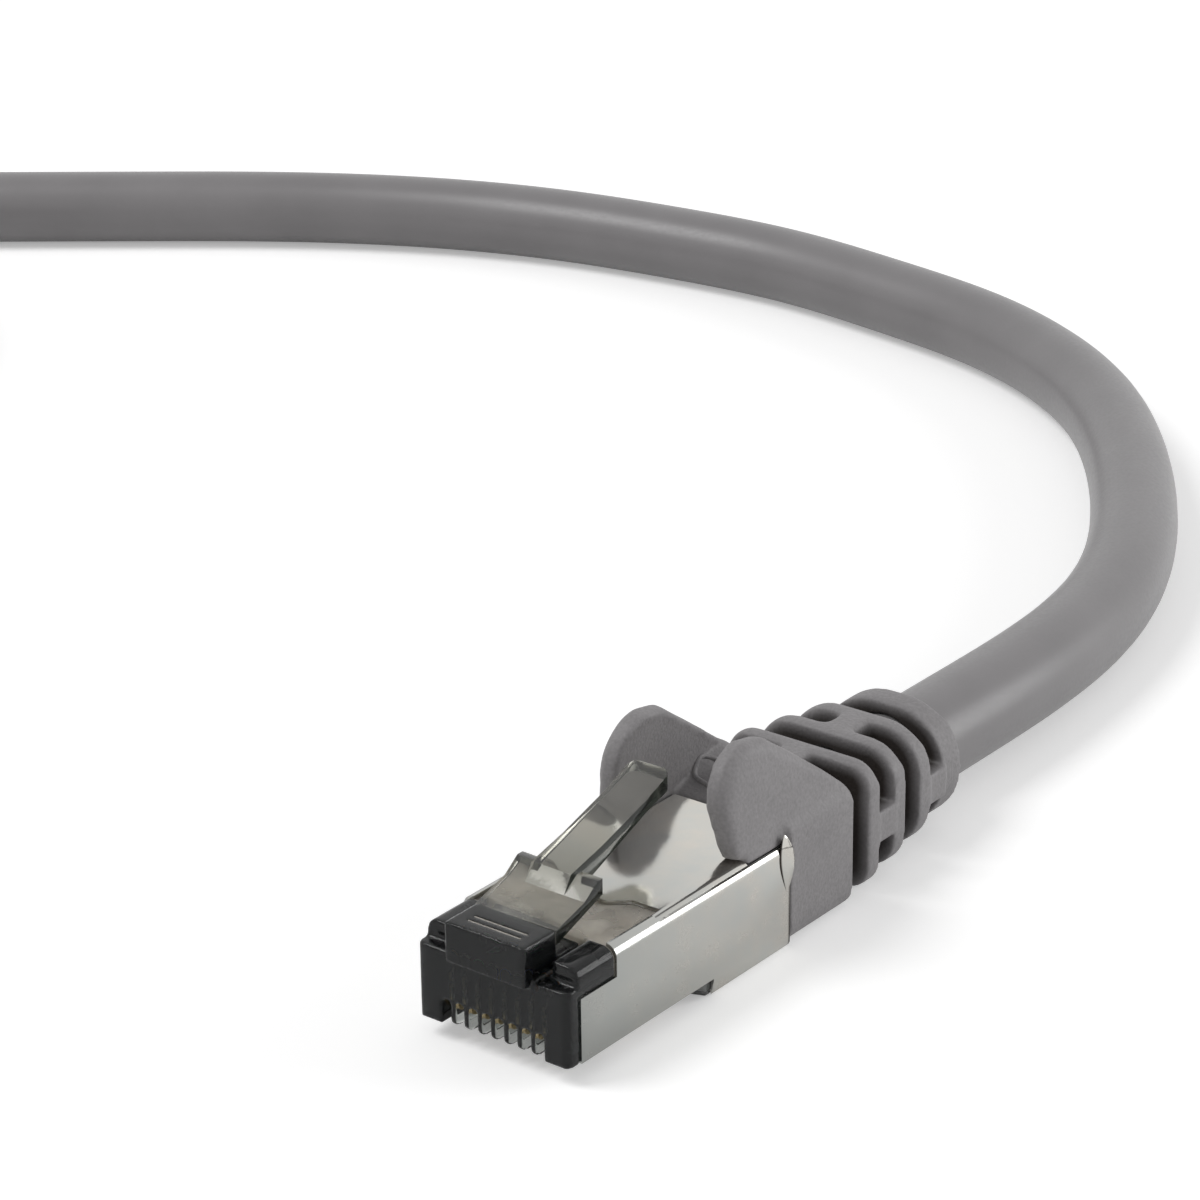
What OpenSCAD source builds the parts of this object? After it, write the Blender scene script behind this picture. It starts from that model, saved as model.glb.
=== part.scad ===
// Shielded 8-way patch lead: a plug, latch and moulded boot on each end of one round cord.
// X runs along the near plug, from its nose to the cord, and Z is up from the surface it lies on.

/* [Plug body] */
// Width of the plug over its shield
plug_w = 11.7; // [11.4:0.1:12.4]
// Height from the underside of the nose to the top of the shield
body_h = 6.3; // [6.2:0.1:6.8]
// How far the nose stands above the surface
nose_lift = 1.2; // [1:0.1:1.6]
// Length from the nose face to the rear edge of the shield
plug_len = 22.2; // [21.8:0.1:24]
// Where the deeper rear part of the shield starts
deep_x = 14.2; // [13.8:0.1:15]
// Depth of the low wall across the nose
nose_depth = 1; // [0.8:0.1:1.3]
// Height of the low wall across the nose
nose_h = 5; // [4.8:0.1:5.2]
// Width of the shoulder block on each side of the keel
block_w = 2; // [1.6:0.05:2.1]
// Length of the strain-relief ramp under the housing
ramp_l = 1.9; // [1.2:0.1:2.4]
// Depth of the strain-relief ramp under the housing
ramp_h = 0.8; // [0.4:0.1:0.9]
// Clearance between pieces that are pushed together
fit_gap = 0.05; // [0.03:0.01:0.08]

/* [Keel and latch] */
// Width of the keel and of the latch plate
keel_w = 6.1; // [5.6:0.1:6.3]
// How far the keel stands in front of the nose face
keel_reach = 0.6; // [0.3:0.1:0.9]
// Height of the keel's front face
keel_h = 2.7; // [2.4:0.1:2.9]
// How far the keel rises above the shield
keel_rise = 1.1; // [0.9:0.1:1.3]
// Distance of the living hinge behind the nose face
hinge_x = 2.5; // [2.2:0.1:2.8]
// Thickness of the latch plate
plate_t = 0.95; // [0.8:0.05:1]
// Distance of the locking shoulders behind the nose face
shoulder_x = 6.9; // [6.6:0.1:7.2]
// Height of the locking shoulders above the shield
shoulder_rise = 2.7; // [2.6:0.1:2.9]
// Width of the lever
lever_w = 3; // [2.8:0.05:3.6]
// Height of the step where the lever starts
lever_step = 1.1; // [0.8:0.1:1.3]
// Distance of the lever's tip behind the nose face
tip_x = 15.8; // [14.8:0.1:16.1]
// Height of the lever's tip above the shield
tip_rise = 5.95; // [5.7:0.05:6.2]
// Thickness of the lever's tip
tip_t = 1.1; // [0.9:0.1:1.3]
// Radius of the lever's rear corners
tip_r = 0.6; // [0.3:0.1:1]

/* [Contacts] */
// Distance between neighbouring contacts
pitch = 1.016; // [1:0.002:1.03]
// Width of a contact slot
slot_w = 0.65; // [0.55:0.05:0.7]
// Height of a contact slot
slot_h = 4; // [3.9:0.05:4.1]
// Length of a contact slot
slot_l = 4.5; // [4.3:0.1:4.8]
// Height to which the slots open through the front of the nose
notch_h = 1.7; // [1.5:0.1:1.9]
// Thickness of a contact blade
blade_t = 0.35; // [0.3:0.05:0.4]
// Length of a contact blade
blade_l = 3.4; // [3.1:0.1:3.6]
// How far a blade sits above the underside of the nose
blade_inset = 0.65; // [0.5:0.05:0.8]
// How far a blade's teeth reach into its wire
bite = 0.55; // [0.4:0.05:0.6]

/* [Wires] */
// Diameter over one wire's insulation
wire_d = 0.9; // [0.85:0.01:0.95]
// Height of the wires above the underside of the nose
wire_h = 4.3; // [4.2:0.02:4.4]
// Length of the load bar that keeps the wires in a row
bar_l = 3.2; // [2.6:0.1:3.6]
// Wall of the load bar round its wires
bar_wall = 0.3; // [0.2:0.05:0.35]
// Diameter of the bare drain wire
drain_d = 0.4; // [0.35:0.05:0.45]
// Thickness of the cross separator's arms
spline_t = 0.3; // [0.2:0.05:0.35]
// Thickness of the foil screen
foil_t = 0.1; // [0.08:0.01:0.12]

/* [Shield] */
// Thickness of the sheet metal
sheet_t = 0.25; // [0.2:0.01:0.3]
// Outside radius of the shield's top bends
bend_r = 0.8; // [0.6:0.05:1]
// Where the low front part of the shield's sides starts
side_x = 1.15; // [1.05:0.05:1.4]
// Height of that low front part
side_h = 4.3; // [3.8:0.1:4.6]
// Where the shield reaches its full height
full_x = 4.6; // [4.4:0.1:4.8]
// Where the window under the latch ends
window_x = 9.9; // [9.4:0.1:10.4]
// Length of the pleat pressed into each rear corner
pleat_h = 3.3; // [2.6:0.1:3.6]
// How far the pleat stands out
pleat_t = 0.45; // [0.3:0.05:0.5]

/* [Boot] */
// Where the boot's solid front block ends
block_end = 29.2; // [28.6:0.1:30.5]
// Height of the front block's rear edge
block_top = 8.9; // [8.6:0.1:9.3]
// Corner radius of the front block
block_r = 1.3; // [1:0.1:1.8]
// Thickness of an ear
ear_t = 1.55; // [1.3:0.05:1.65]
// Where the front edge of the ears stands
ear_x = 17; // [16.7:0.1:17.2]
// Height of the ears
ear_top = 14.2; // [13.8:0.1:14.8]
// How far the ears lean inwards, in degrees
ear_lean = 7; // [4:0.5:8]
// Width of a gap in the strain relief
slit_l = 2; // [1.6:0.1:2.1]
// Length of a rib in the strain relief
rib_l = 1.3; // [1.2:0.1:1.6]
// Length of the end collar
collar_l = 2.1; // [1.8:0.1:3]
// Width of the end collar
collar_w = 9.6; // [9.2:0.1:10.2]
// Height of the end collar
collar_h = 8.45; // [8.2:0.1:8.7]
// Width of the bridges between ribs
bridge_w = 2.2; // [1.8:0.1:2.6]

/* [Cord] */
// Outside diameter of the round jacket
cord_d = 6.7; // [6.5:0.05:6.8]
// Wall of the jacket
jacket_t = 0.75; // [0.7:0.01:0.8]
// Height of the cord's centre where it leaves the boot
cord_z = 4; // [3.9:0.05:4.1]

/* [Coil] */
// Radius of the coil's outer turn, to the cord's centre
coil_r = 40.1; // [38:0.1:46]
// Clear space between neighbouring turns
coil_gap = 0.7; // [0.6:0.05:1]
// Width of the tie round the coil
tie_w = 10; // [8:0.5:14]
// Thickness of the tie's strap
tie_t = 0.6; // [0.4:0.05:0.8]

/* [Hidden] */
$fn = 48;
ways = 8;
cut = 0.1;
nose_z = nose_lift;
top_z = nose_z + body_h;
boot_end = block_end + 4 * slit_l + 3 * rib_l + collar_l;
plug_shift = -(boot_end - keel_reach) / 2;

// Housing
housing_w = plug_w - 2 * sheet_t - 2 * fit_gap;
housing_top = top_z - sheet_t - fit_gap;
housing_end = deep_x - fit_gap;
front_w = plug_w - 0.2;
corner_r = 0.5;
block_top_z = top_z - 0.1;
block_low = nose_z + side_h + fit_gap;
tooth_r = 0.6;
nose_wall = 0.6;
keel_grooves = [0.35, 0.95];
groove_w = 0.2;
groove_end = 1;
keel_top = top_z + keel_rise;
wire_z = nose_z + wire_h;
channel_d = wire_d + 2 * fit_gap;
wire_x = 1.6;
bar_x = slot_l + 0.9;
bar_w = ways * pitch + 2 * bar_wall;
bar_h = channel_d + 2 * bar_wall;
cavity_w = bar_w + 2 * fit_gap;
cavity_top = wire_z + bar_h / 2 + fit_gap;
cavity_floor = nose_z + 0.9;

// Latch
hinge_z = keel_top - plate_t / 2;
hinge_gap = 0.12;
shoulder_z = top_z + shoulder_rise;
tip_z = top_z + tip_rise;
shoulder_l = 0.5;
shoulder_t = 1.05;
shoulder_step = 0.88;
step_x = shoulder_x - 1.75;
plate_slope = (shoulder_z - shoulder_step - keel_top) / (step_x - hinge_x);
lever_x = step_x + 0.7;
bow_l = 2.95;
bow_drop = 2.35;
pad_l = 2.6;
pad_drop = 1.05;
heel_l = 2.6;
heel_drop = 0.75;
function plate_top(x) = keel_top + plate_slope * (x - hinge_x);

// Blades
blade_x = (slot_l - blade_l) / 2 + 0.2;
blade_top = nose_z + slot_h - 0.7;
tooth_top = wire_z - wire_d / 2 + bite;

// Cord and its inner pieces
core_d = cord_d - 2 * jacket_t - 0.1;
core_r = (core_d - 2 * foil_t) / 2;
pair_r = core_r - 0.3 - wire_d / 2 - fit_gap * 2;
pair_angle = 19;
fan_start = bar_x + bar_l + 0.5;
fan_end = deep_x + 0.2;
core_x = deep_x + 0.7;
core_end = plug_len + 1.8;
jacket_x = plug_len + 0.5;
mould_x = plug_len - 3.7;
mould_end = jacket_x + 3.3;
mould_top = top_z - 0.45;
spigot_w = cord_d + 1.7;
spigot_low = 0.35;
spigot_top = cord_z + cord_d / 2 + 0.65;

// Shield
pleat_z = top_z - pleat_h + 0.1;
pleat_tip = 0.12;
pleat_waist = 0.45;

// Boot
boot_x = plug_len + fit_gap;
ear_root = top_z - 0.35;
ear_slot_x = ear_x + 1.1;
ear_side = plug_w / 2 - sheet_t - fit_gap;
slope_x = ear_x + 5.6;
bore_d = cord_d + 2 * fit_gap;
function station(x) = (x - block_end) / (boot_end - block_end);
function section_w(x) = plug_w + (collar_w - plug_w) * station(x);
function section_h(x) = block_top + (collar_h - block_top) * station(x);
function section_r(x) = block_r + (4.1 - block_r) * station(x);
function ear_arc(x, z, r, from, to) =
  [for (a = [from:(to - from) / 8:to]) [x + r * cos(a), z + r * sin(a)]];

// Cord route, from the near boot to the coil and from the coil to the far boot
cord_r = cord_d / 2;
lie = cord_r + 0.05;
turn_gap = cord_d + coil_gap;
coil_centre = [16.2, 150];
coil_from = 36.87;
coil_sweep = 863.13;
half_sweep = coil_sweep / 2;
coil_steps = 58;
tie_at = 270;
tie_reach = 45;
lift = tie_t + 0.2;
lead_route = [[boot_end + plug_shift, 0, cord_z], [29, 0, cord_z], [43, 0.9, 3.6], [53, 2.9, lie],
  [61.3, 6, lie], [68.9, 10.05, lie], [80, 17.6, lie], [88.6, 25.4, lie], [95.05, 34.25, lie],
  [99.35, 43.95, lie], [101.9, 55, lie], [103.7, 68, lie], [103.1, 80, lie], [101.2, 92, lie],
  [97, 104.6, lie], [90.7, 116.4, lie], [82.2, 128.6, lie], [73.6, 140.3, lie],
  [65.6, 151, lie]];
tail_x = coil_centre[0] - coil_r;
tail_end = [tail_x, 101, cord_z];
tail_route = [[tail_x, 135, 10.8], [tail_x, 128, 9.8], [tail_x, 121, 7.6], [tail_x, 114.5, 5],
  [tail_x, 108, cord_z]];
far_place = [tail_end[0], tail_end[1] - (boot_end + plug_shift), 0];

// Radius of the coil at a wound angle: in at a steady rate, then out again at the same rate
function coil_radius(a) = coil_r - turn_gap * (half_sweep - abs(a - half_sweep)) / 360;
// Climb from the first layer to the second in the half turn where the spiral reverses
function coil_climb(a) = let (t = min(1, max(0, (a - half_sweep + 90) / 180)))
  turn_gap * (1 - cos(180 * t)) / 2;
// Small rise of every turn where it lies over the tie's strap
function tie_hump(a) = let (off = abs(((coil_from + a - tie_at + 900) % 360) - 180))
  off > tie_reach ? 0 : lift * pow(cos(90 * off / tie_reach), 2);
function coil_point(a) = let (r = coil_radius(a), t = coil_from + a)
  [coil_centre[0] + r * cos(t), coil_centre[1] + r * sin(t), lie + coil_climb(a) + tie_hump(a)];
coil_turns = [for (i = [0:coil_steps]) coil_point(coil_sweep * i / coil_steps)];
// The coil's ends run straight on for a little over one diameter
run_out = cord_d + 0.5;
entry = [-sin(coil_from), cos(coil_from), 0];
coil_start = coil_turns[0] - run_out * entry;
coil_finish = coil_turns[coil_steps] - [0, run_out, 0];
coil_route = concat([coil_start], coil_turns, [coil_finish]);

// Least distance between the coil's own turns, measured between route points over half a turn apart
near_steps = 14;
last_point = len(coil_route) - 1;
coil_least = min([for (i = [0:last_point]) for (j = [i + near_steps:1:last_point])
  norm(coil_route[i] - coil_route[j])]) - cord_d;
function route_length(p) = [for (i = [0:len(p) - 2]) norm(p[i + 1] - p[i])] * [for (i = [0:len(p) - 2]) 1];
lead_all = concat(lead_route, [coil_start - run_out * entry, coil_start]);
tail_all = concat([coil_finish], tail_route, [tail_end]);
echo(coil_gap_to_itself = coil_least, coil_length = route_length(coil_route));
echo(length_plug_to_plug = route_length(lead_all) + route_length(coil_route) + route_length(tail_all)
  + 2 * (boot_end + keel_reach));

// Swept tube of a given diameter along points, with a vertex straight below the centre line
function unit(v) = v / norm(v);
function heading(p, i) = unit(p[min(i + 1, len(p) - 1)] - p[max(i - 1, 0)]);
function side_of(t) = unit(cross([0, 0, 1], t));
function ring(p, i, r, sides) = let (t = heading(p, i), s = side_of(t), u = cross(t, s))
  [for (k = [0:sides - 1]) p[i] + r * (sin(360 * k / sides) * s - cos(360 * k / sides) * u)];
module tube(p, d, sides) {
  rings = len(p);
  last = (rings - 1) * sides;
  walls = [for (i = [0:rings - 2]) for (k = [0:sides - 1])
    let (a = i * sides + k, b = i * sides + (k + 1) % sides)
    each [[a, a + sides, b], [b, a + sides, b + sides]]];
  caps = [for (k = [1:sides - 2]) each [[0, k, k + 1], [last, last + k + 1, last + k]]];
  polyhedron([for (i = [0:rings - 1]) each ring(p, i, d / 2, sides)], concat(walls, caps));
}

// Block from one corner to the other, centred on Y = 0
module slab(x0, x1, w, z0, z1) {
  translate([x0, -w / 2, z0]) cube([x1 - x0, w, z1 - z0]);
}

// Outline in X and Z, extruded to a width centred on Y = 0
module side_plate(points, w) {
  translate([0, w / 2, 0]) rotate([90, 0, 0]) linear_extrude(w) polygon(points);
}

// Cylinder along Y, centred on Y = 0
module cross_rod(x, z, r, w) {
  translate([x, w / 2, z]) rotate([90, 0, 0]) cylinder(r = r, h = w);
}

// Cylinder along X
module long_rod(x0, x1, y, z, d) {
  translate([x0, y, z]) rotate([0, 90, 0]) cylinder(d = d, h = x1 - x0);
}

// Prism along X of a rectangle whose four corners are round
module round_bar(x0, x1, w, z0, z1, r) {
  translate([x0, 0, 0]) rotate([90, 0, 90]) linear_extrude(x1 - x0) {
    translate([-w / 2, z0 + r]) square([w, z1 - z0 - 2 * r]);
    translate([r - w / 2, z0]) square([w - 2 * r, z1 - z0]);
    for (y = [-1, 1], z = [z0 + r, z1 - r]) translate([y * (w / 2 - r), z]) circle(r);
  }
}

// Prism along X of a rectangle whose two upper corners are round
module arch_bar(x0, x1, w, z0, z1, r) {
  translate([x0, 0, 0]) rotate([90, 0, 90]) linear_extrude(x1 - x0) {
    translate([-w / 2, z0]) square([w, z1 - z0 - r]);
    translate([r - w / 2, z0]) square([w - 2 * r, z1 - z0]);
    for (y = [-1, 1]) translate([y * (w / 2 - r), z1 - r]) circle(r);
  }
}

function way_y(i) = (i - (ways - 1) / 2) * pitch;

// What the round lower front corner leaves away between the outer contact slots
module tooth_corner() {
  arc = [for (a = [180:15:270]) [tooth_r * (1 + cos(a)), nose_z + tooth_r * (1 + sin(a))]];
  side_plate(concat([[-cut, nose_z - cut], [-cut, nose_z + tooth_r]], arc, [[tooth_r, nose_z - cut]]),
    (ways - 1) * pitch - slot_w + 2 * cut);
}

// Clear smoked housing: low nose wall, keel, shoulder blocks, wire channels and rear cavity
module housing_body() {
  color([0.13, 0.14, 0.14]) difference() {
    union() {
      slab(corner_r, nose_depth + cut, front_w, nose_z, nose_z + nose_h);
      slab(0, nose_depth + cut, front_w - 2 * corner_r, nose_z, nose_z + nose_h);
      for (s = [-1, 1]) translate([corner_r, s * (front_w / 2 - corner_r), nose_z])
        cylinder(r = corner_r, h = nose_h);
      slab(nose_depth, full_x, housing_w, nose_z, nose_z + nose_h);
      slab(full_x - fit_gap, housing_end, housing_w, nose_z, housing_top - bend_r);
      arch_bar(full_x - fit_gap, housing_end, housing_w, nose_z, housing_top, bend_r - sheet_t);
      intersection() {
        union() {
          arch_bar(nose_depth, full_x - fit_gap, front_w, block_low, block_top_z, bend_r);
          slab(nose_depth, full_x - fit_gap, housing_w, nose_z, block_low + cut);
        }
        for (s = [-1, 1]) translate([0, s * (front_w - block_w) / 2, 0])
          slab(nose_depth, full_x, block_w, nose_z, top_z);
      }
      slab(-keel_reach, hinge_x, keel_w, keel_top - keel_h, keel_top);
      slab(nose_depth, hinge_x, keel_w, nose_z + nose_h - cut, keel_top - keel_h + cut);
      slab(hinge_x - cut, full_x, keel_w, nose_z + nose_h - cut, housing_top - 0.3);
      side_plate([[housing_end - ramp_l, nose_z + cut], [housing_end, nose_z + cut],
        [housing_end, nose_z - ramp_h], [housing_end - 0.4, nose_z - ramp_h],
        [housing_end - ramp_l, nose_z]], housing_w);
    }
    cross_rod(hinge_x, hinge_z, plate_t / 2 + hinge_gap, keel_w + cut);
    for (x = keel_grooves)
      slab(x, x + groove_w, keel_w - 2 * groove_end, keel_top - groove_w, keel_top + cut);
    tooth_corner();
    for (i = [0:ways - 1]) translate([0, way_y(i), 0]) {
      slab(-cut, nose_wall + cut, slot_w, nose_z - cut, nose_z + notch_h);
      slab(nose_wall, slot_l, slot_w, nose_z - cut, nose_z + slot_h);
      long_rod(wire_x - cut, bar_x + cut, 0, wire_z, channel_d);
    }
    slab(bar_x - fit_gap, housing_end + cut, cavity_w, wire_z - bar_h / 2 - fit_gap, cavity_top);
    slab(bar_x + bar_l + fit_gap, housing_end + cut, cavity_w, cavity_floor, cavity_top);
  }
}

// Latch plate with its two locking shoulders, and the lever that lies between the boot's ears
module latch_body() {
  color([0.3, 0.31, 0.28]) union() {
    cross_rod(hinge_x, hinge_z, plate_t / 2, keel_w);
    side_plate([[hinge_x, keel_top - plate_t], [hinge_x, keel_top], [step_x, plate_top(step_x)],
      [shoulder_x - shoulder_l, shoulder_z], [shoulder_x, shoulder_z],
      [shoulder_x, shoulder_z - shoulder_t]], keel_w);
    intersection() {
      side_plate([[step_x - 0.5, plate_top(step_x - 0.5) - plate_t / 2], [step_x, plate_top(step_x)],
        [lever_x, plate_top(step_x) + lever_step], [lever_x + bow_l, tip_z - bow_drop],
        [tip_x - pad_l, tip_z - pad_drop], [tip_x, tip_z], [tip_x, tip_z - tip_t],
        [tip_x - heel_l, tip_z - tip_t - heel_drop], [shoulder_x, shoulder_z - shoulder_t]], lever_w);
      union() {
        slab(0, tip_x - tip_r, lever_w, 0, tip_z);
        slab(0, tip_x, lever_w - 2 * tip_r, 0, tip_z);
        for (s = [-1, 1]) translate([tip_x - tip_r, s * (lever_w / 2 - tip_r), 0])
          cylinder(r = tip_r, h = tip_z);
      }
    }
  }
}

// One gold-plated contact blade with two teeth that pierce its wire
module blade(i) {
  x1 = blade_x + blade_l;
  low = nose_z + blade_inset;
  round_r = 0.5;
  color([0.85, 0.68, 0.3]) translate([0, way_y(i), 0]) union() {
    side_plate([[blade_x + round_r, low], [x1, low], [x1, blade_top], [x1 - 0.2, tooth_top],
      [x1 - 0.6, blade_top], [x1 - 1.5, blade_top], [x1 - 1.7, tooth_top], [x1 - 2.1, blade_top],
      [blade_x, blade_top], [blade_x, low + round_r]], blade_t);
    cross_rod(blade_x + round_r, low + round_r, round_r, blade_t);
  }
}

// Comb that keeps the wires in a row behind the contacts
module bar_body() {
  color([0.75, 0.75, 0.72]) difference() {
    slab(bar_x, bar_x + bar_l, bar_w, wire_z - bar_h / 2, wire_z + bar_h / 2);
    for (i = [0:ways - 1]) long_rod(bar_x - cut, bar_x + bar_l + cut, way_y(i), wire_z, channel_d);
  }
}

// Colours of the eight wires, in the order of the contacts
wire_colours = [[0.95, 0.85, 0.75], [0.9, 0.45, 0.1], [0.8, 0.92, 0.8], [0.1, 0.3, 0.75],
  [0.8, 0.86, 0.95], [0.1, 0.55, 0.25], [0.88, 0.82, 0.78], [0.45, 0.28, 0.15]];

// Place of one wire across the cord: four pairs sit left, right, above and below the centre
function pair_place(i) = let (
  pair = [180, 180, 270, 90, 90, 270, 0, 0][i],
  a = pair + pair_angle * (i % 2 == 0 ? -1 : 1))
  [pair_r * cos(a), cord_z + pair_r * sin(a)];
// The outer pairs turn a quarter while they run in, and the others run straight across
function fan_place(i, t) = let (
  outer = i < 2 || i > 5,
  side = i < 4 ? -1 : 1,
  mid = [side * 3 * pitch * (1 - t) + side * pair_r * cos(pair_angle) * t, wire_z * (1 - t) + cord_z * t],
  first = i == 0 || i == 7,
  turn = 90 * t,
  half = pitch / 2 * (1 - t) + pair_r * sin(pair_angle) * t,
  from = [way_y(i), wire_z],
  quick = pow(t, 0.7))
  outer ? mid + half * (first ? 1 : -1) * [side * cos(turn), sin(turn)]
    : from * (1 - quick) + pair_place(i) * quick;
function wire_route(i) = concat([[wire_x, way_y(i), wire_z]],
  [for (k = [0:4]) let (t = k / 4, p = fan_place(i, t)) [fan_start + (fan_end - fan_start) * t, p[0], p[1]]],
  [let (p = fan_place(i, 1)) [core_end, p[0], p[1]]]);

// One insulated wire, slit where its contact blade bites
module wire(i) {
  color(wire_colours[i]) difference() {
    tube(wire_route(i), wire_d, 10);
    translate([0, way_y(i), 0])
      slab(wire_x - cut, blade_x + blade_l + fit_gap, blade_t + fit_gap, nose_z, tooth_top + fit_gap);
  }
}

// Cross separator that keeps the pairs apart
module spline_body() {
  arm = 2 * (core_r - 0.55);
  color([0.9, 0.9, 0.88]) translate([0, 0, cord_z]) for (a = [45, 135]) rotate([a, 0, 0])
    slab(core_x + 0.3, core_end, arm, -spline_t / 2, spline_t / 2);
}

// Bare wire that leaves the screen and lies against the inside of the shield
module drain_body() {
  run = core_r - drain_d / 2 - fit_gap;
  wall = plug_w / 2 - sheet_t - fit_gap - drain_d / 2;
  bend_x = core_x - 0.3;
  color([0.8, 0.8, 0.82]) tube([[core_end, run, cord_z], [bend_x, run, cord_z],
    [bend_x - 0.3, run + 0.4, cord_z], [bend_x - 0.3, run + 1.2, cord_z],
    [bend_x + 0.4, wall - 0.6, cord_z], [bend_x + 1.2, wall, cord_z], [mould_x - 0.3, wall, cord_z]],
    drain_d, 8);
}

// Foil screen round the pairs
module foil_body() {
  color([0.78, 0.8, 0.83]) difference() {
    long_rod(core_x, core_end, 0, cord_z, core_d);
    long_rod(core_x - cut, core_end + cut, 0, cord_z, core_d - 2 * foil_t);
  }
}

// Outer form of the folded can, grown outwards by a margin
module can_form(x0, x1, grow) {
  arch_bar(x0, x1, plug_w + 2 * grow, nose_z, top_z + grow, bend_r + grow);
  round_bar(max(x0, deep_x), x1, plug_w + 2 * grow, -grow, top_z - bend_r, 0.5 + grow);
}

// Folded sheet-metal can: open under the nose, deep at the rear, with a window under the latch
module can_body() {
  inner_x = full_x + 0.01;
  win_y = plug_w / 2 - bend_r;
  color([0.72, 0.73, 0.71]) difference() {
    union() {
      can_form(side_x, plug_len, 0);
      for (s = [-1, 1]) translate([plug_len - pleat_t, s * (plug_w / 2 - pleat_t / 2), pleat_z]) {
        cylinder(r1 = pleat_tip, r2 = pleat_t, h = pleat_h * pleat_waist);
        translate([0, 0, pleat_h * pleat_waist])
          cylinder(r1 = pleat_t, r2 = pleat_tip, h = pleat_h * (1 - pleat_waist));
      }
    }
    can_form(side_x - cut, plug_len + cut, -sheet_t);
    slab(side_x - cut, deep_x, plug_w + 1, -cut, nose_z);
    slab(side_x - cut, deep_x + sheet_t, plug_w - 2 * sheet_t, -cut, nose_z + sheet_t);
    slab(side_x - cut, full_x, plug_w + 1, nose_z + side_h, top_z + cut);
    translate([0, 0, housing_top - cut]) linear_extrude(sheet_t + 1) polygon([[inner_x - 1, -win_y],
      [window_x, -win_y], [window_x, -2.9], [window_x - 1, -1.7], [window_x - 1, 1.7],
      [window_x, 2.9], [window_x, win_y], [inner_x - 1, win_y]]);
    for (s = [-1, 1]) translate([0, s * (ear_side - ear_t / 2 - fit_gap), 0])
      slab(ear_slot_x - fit_gap, plug_len + cut, ear_t + 4 * fit_gap, ear_root - fit_gap, top_z + cut);
  }
}

// Hard inner mould: fills the rear of the can and grips the end of the jacket
module premould_body() {
  inset = sheet_t + fit_gap;
  color([0.35, 0.35, 0.36]) difference() {
    union() {
      round_bar(mould_x, boot_x, plug_w - 2 * inset, inset, mould_top, 0.4);
      round_bar(boot_x - fit_gap / 2, mould_end, spigot_w, spigot_low, spigot_top, 1.5);
    }
    long_rod(mould_x - cut, mould_end, 0, cord_z, core_d + 2 * fit_gap);
    long_rod(jacket_x - fit_gap, mould_end + cut, 0, cord_z, bore_d);
  }
}

// End of the cord's jacket inside the boot
module jacket_body() {
  color([0.5, 0.49, 0.49]) difference() {
    long_rod(jacket_x, boot_end, 0, cord_z, cord_d);
    long_rod(jacket_x - cut, core_end + 0.2, 0, cord_z, cord_d - 2 * jacket_t);
  }
}

// Side outline of one ear, with its round nose and the slope down to the front block
module ear_plate() {
  nose_r = 3.4;
  far_r = 1.6;
  low_edge = top_z + fit_gap + ear_t / 2 * sin(ear_lean);
  points = concat([[boot_x, ear_root], [ear_slot_x, ear_root], [ear_slot_x, low_edge],
    [ear_x + 0.3, low_edge]],
    ear_arc(ear_x + nose_r, ear_top - nose_r, nose_r, 180, 100),
    ear_arc(slope_x - 1.5, ear_top - far_r, far_r, 90, 54),
    [[block_end, block_top], [block_end, block_top - 3], [boot_x, block_top - 3]]);
  side_plate(points, ear_t);
}

// Moulded boot: front block, two ears and a strain relief of ribs joined by bridges
module boot_body() {
  channel = plug_w - 2 * sheet_t - 2 * ear_t - 0.2;
  color([0.5, 0.48, 0.49]) difference() {
    union() {
      difference() {
        round_bar(boot_x, block_end, plug_w, 0, block_top, block_r);
        side_plate([[boot_x - cut, top_z + 0.1], [boot_x + 1, top_z + 0.1], [block_end - 0.6, block_top],
          [block_end - 0.6, block_top + cut], [boot_x - cut, block_top + cut]], channel);
        slab(boot_x - cut, boot_x + 0.9, channel, top_z - cut, block_top);
      }
      for (s = [-1, 1]) translate([0, s * (ear_side - ear_t / 2), top_z]) rotate([s * ear_lean, 0, 0])
        translate([0, 0, -top_z]) ear_plate();
      for (k = [0:2]) let (x = block_end + slit_l + k * (slit_l + rib_l), m = x + rib_l / 2)
        round_bar(x, x + rib_l, section_w(m), 0, section_h(m), section_r(m));
      round_bar(boot_end - collar_l, boot_end, collar_w, 0, collar_h, 4.1);
      for (k = [0:3]) let (x = block_end + k * (slit_l + rib_l), m = x + slit_l / 2)
        intersection() {
          round_bar(x - cut, x + slit_l + cut, section_w(m), 0, section_h(m), section_r(m));
          if (k % 2 == 0) slab(x - cut, x + slit_l + cut, bridge_w, 0, block_top);
          else slab(x - cut, x + slit_l + cut, plug_w, cord_z - bridge_w / 2, cord_z + bridge_w / 2);
        }
    }
    long_rod(boot_x - cut, boot_end + cut, 0, cord_z, bore_d);
    round_bar(boot_x - cut, mould_end + fit_gap, spigot_w + 2 * fit_gap, spigot_low - fit_gap,
      spigot_top + fit_gap, 1.5);
  }
}

// Strap round the one turn that each layer of the coil has at the tie
module tie_body() {
  lower_r = coil_radius(tie_at - coil_from);
  upper_r = coil_radius(tie_at - coil_from + 360);
  high = lie + lift + turn_gap + cord_r + 0.15;
  width = abs(lower_r - upper_r) + cord_d + 1.1;
  color([0.16, 0.16, 0.17]) translate([coil_centre[0], coil_centre[1], 0]) rotate([0, 0, tie_at])
    translate([(lower_r + upper_r) / 2, 0, 0]) rotate([0, 0, 90]) difference() {
      round_bar(-tie_w / 2, tie_w / 2, width + 2 * tie_t, 0, high + tie_t, 3);
      round_bar(-tie_w / 2 - cut, tie_w / 2 + cut, width, tie_t, high, 3 - tie_t);
    }
}

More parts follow.
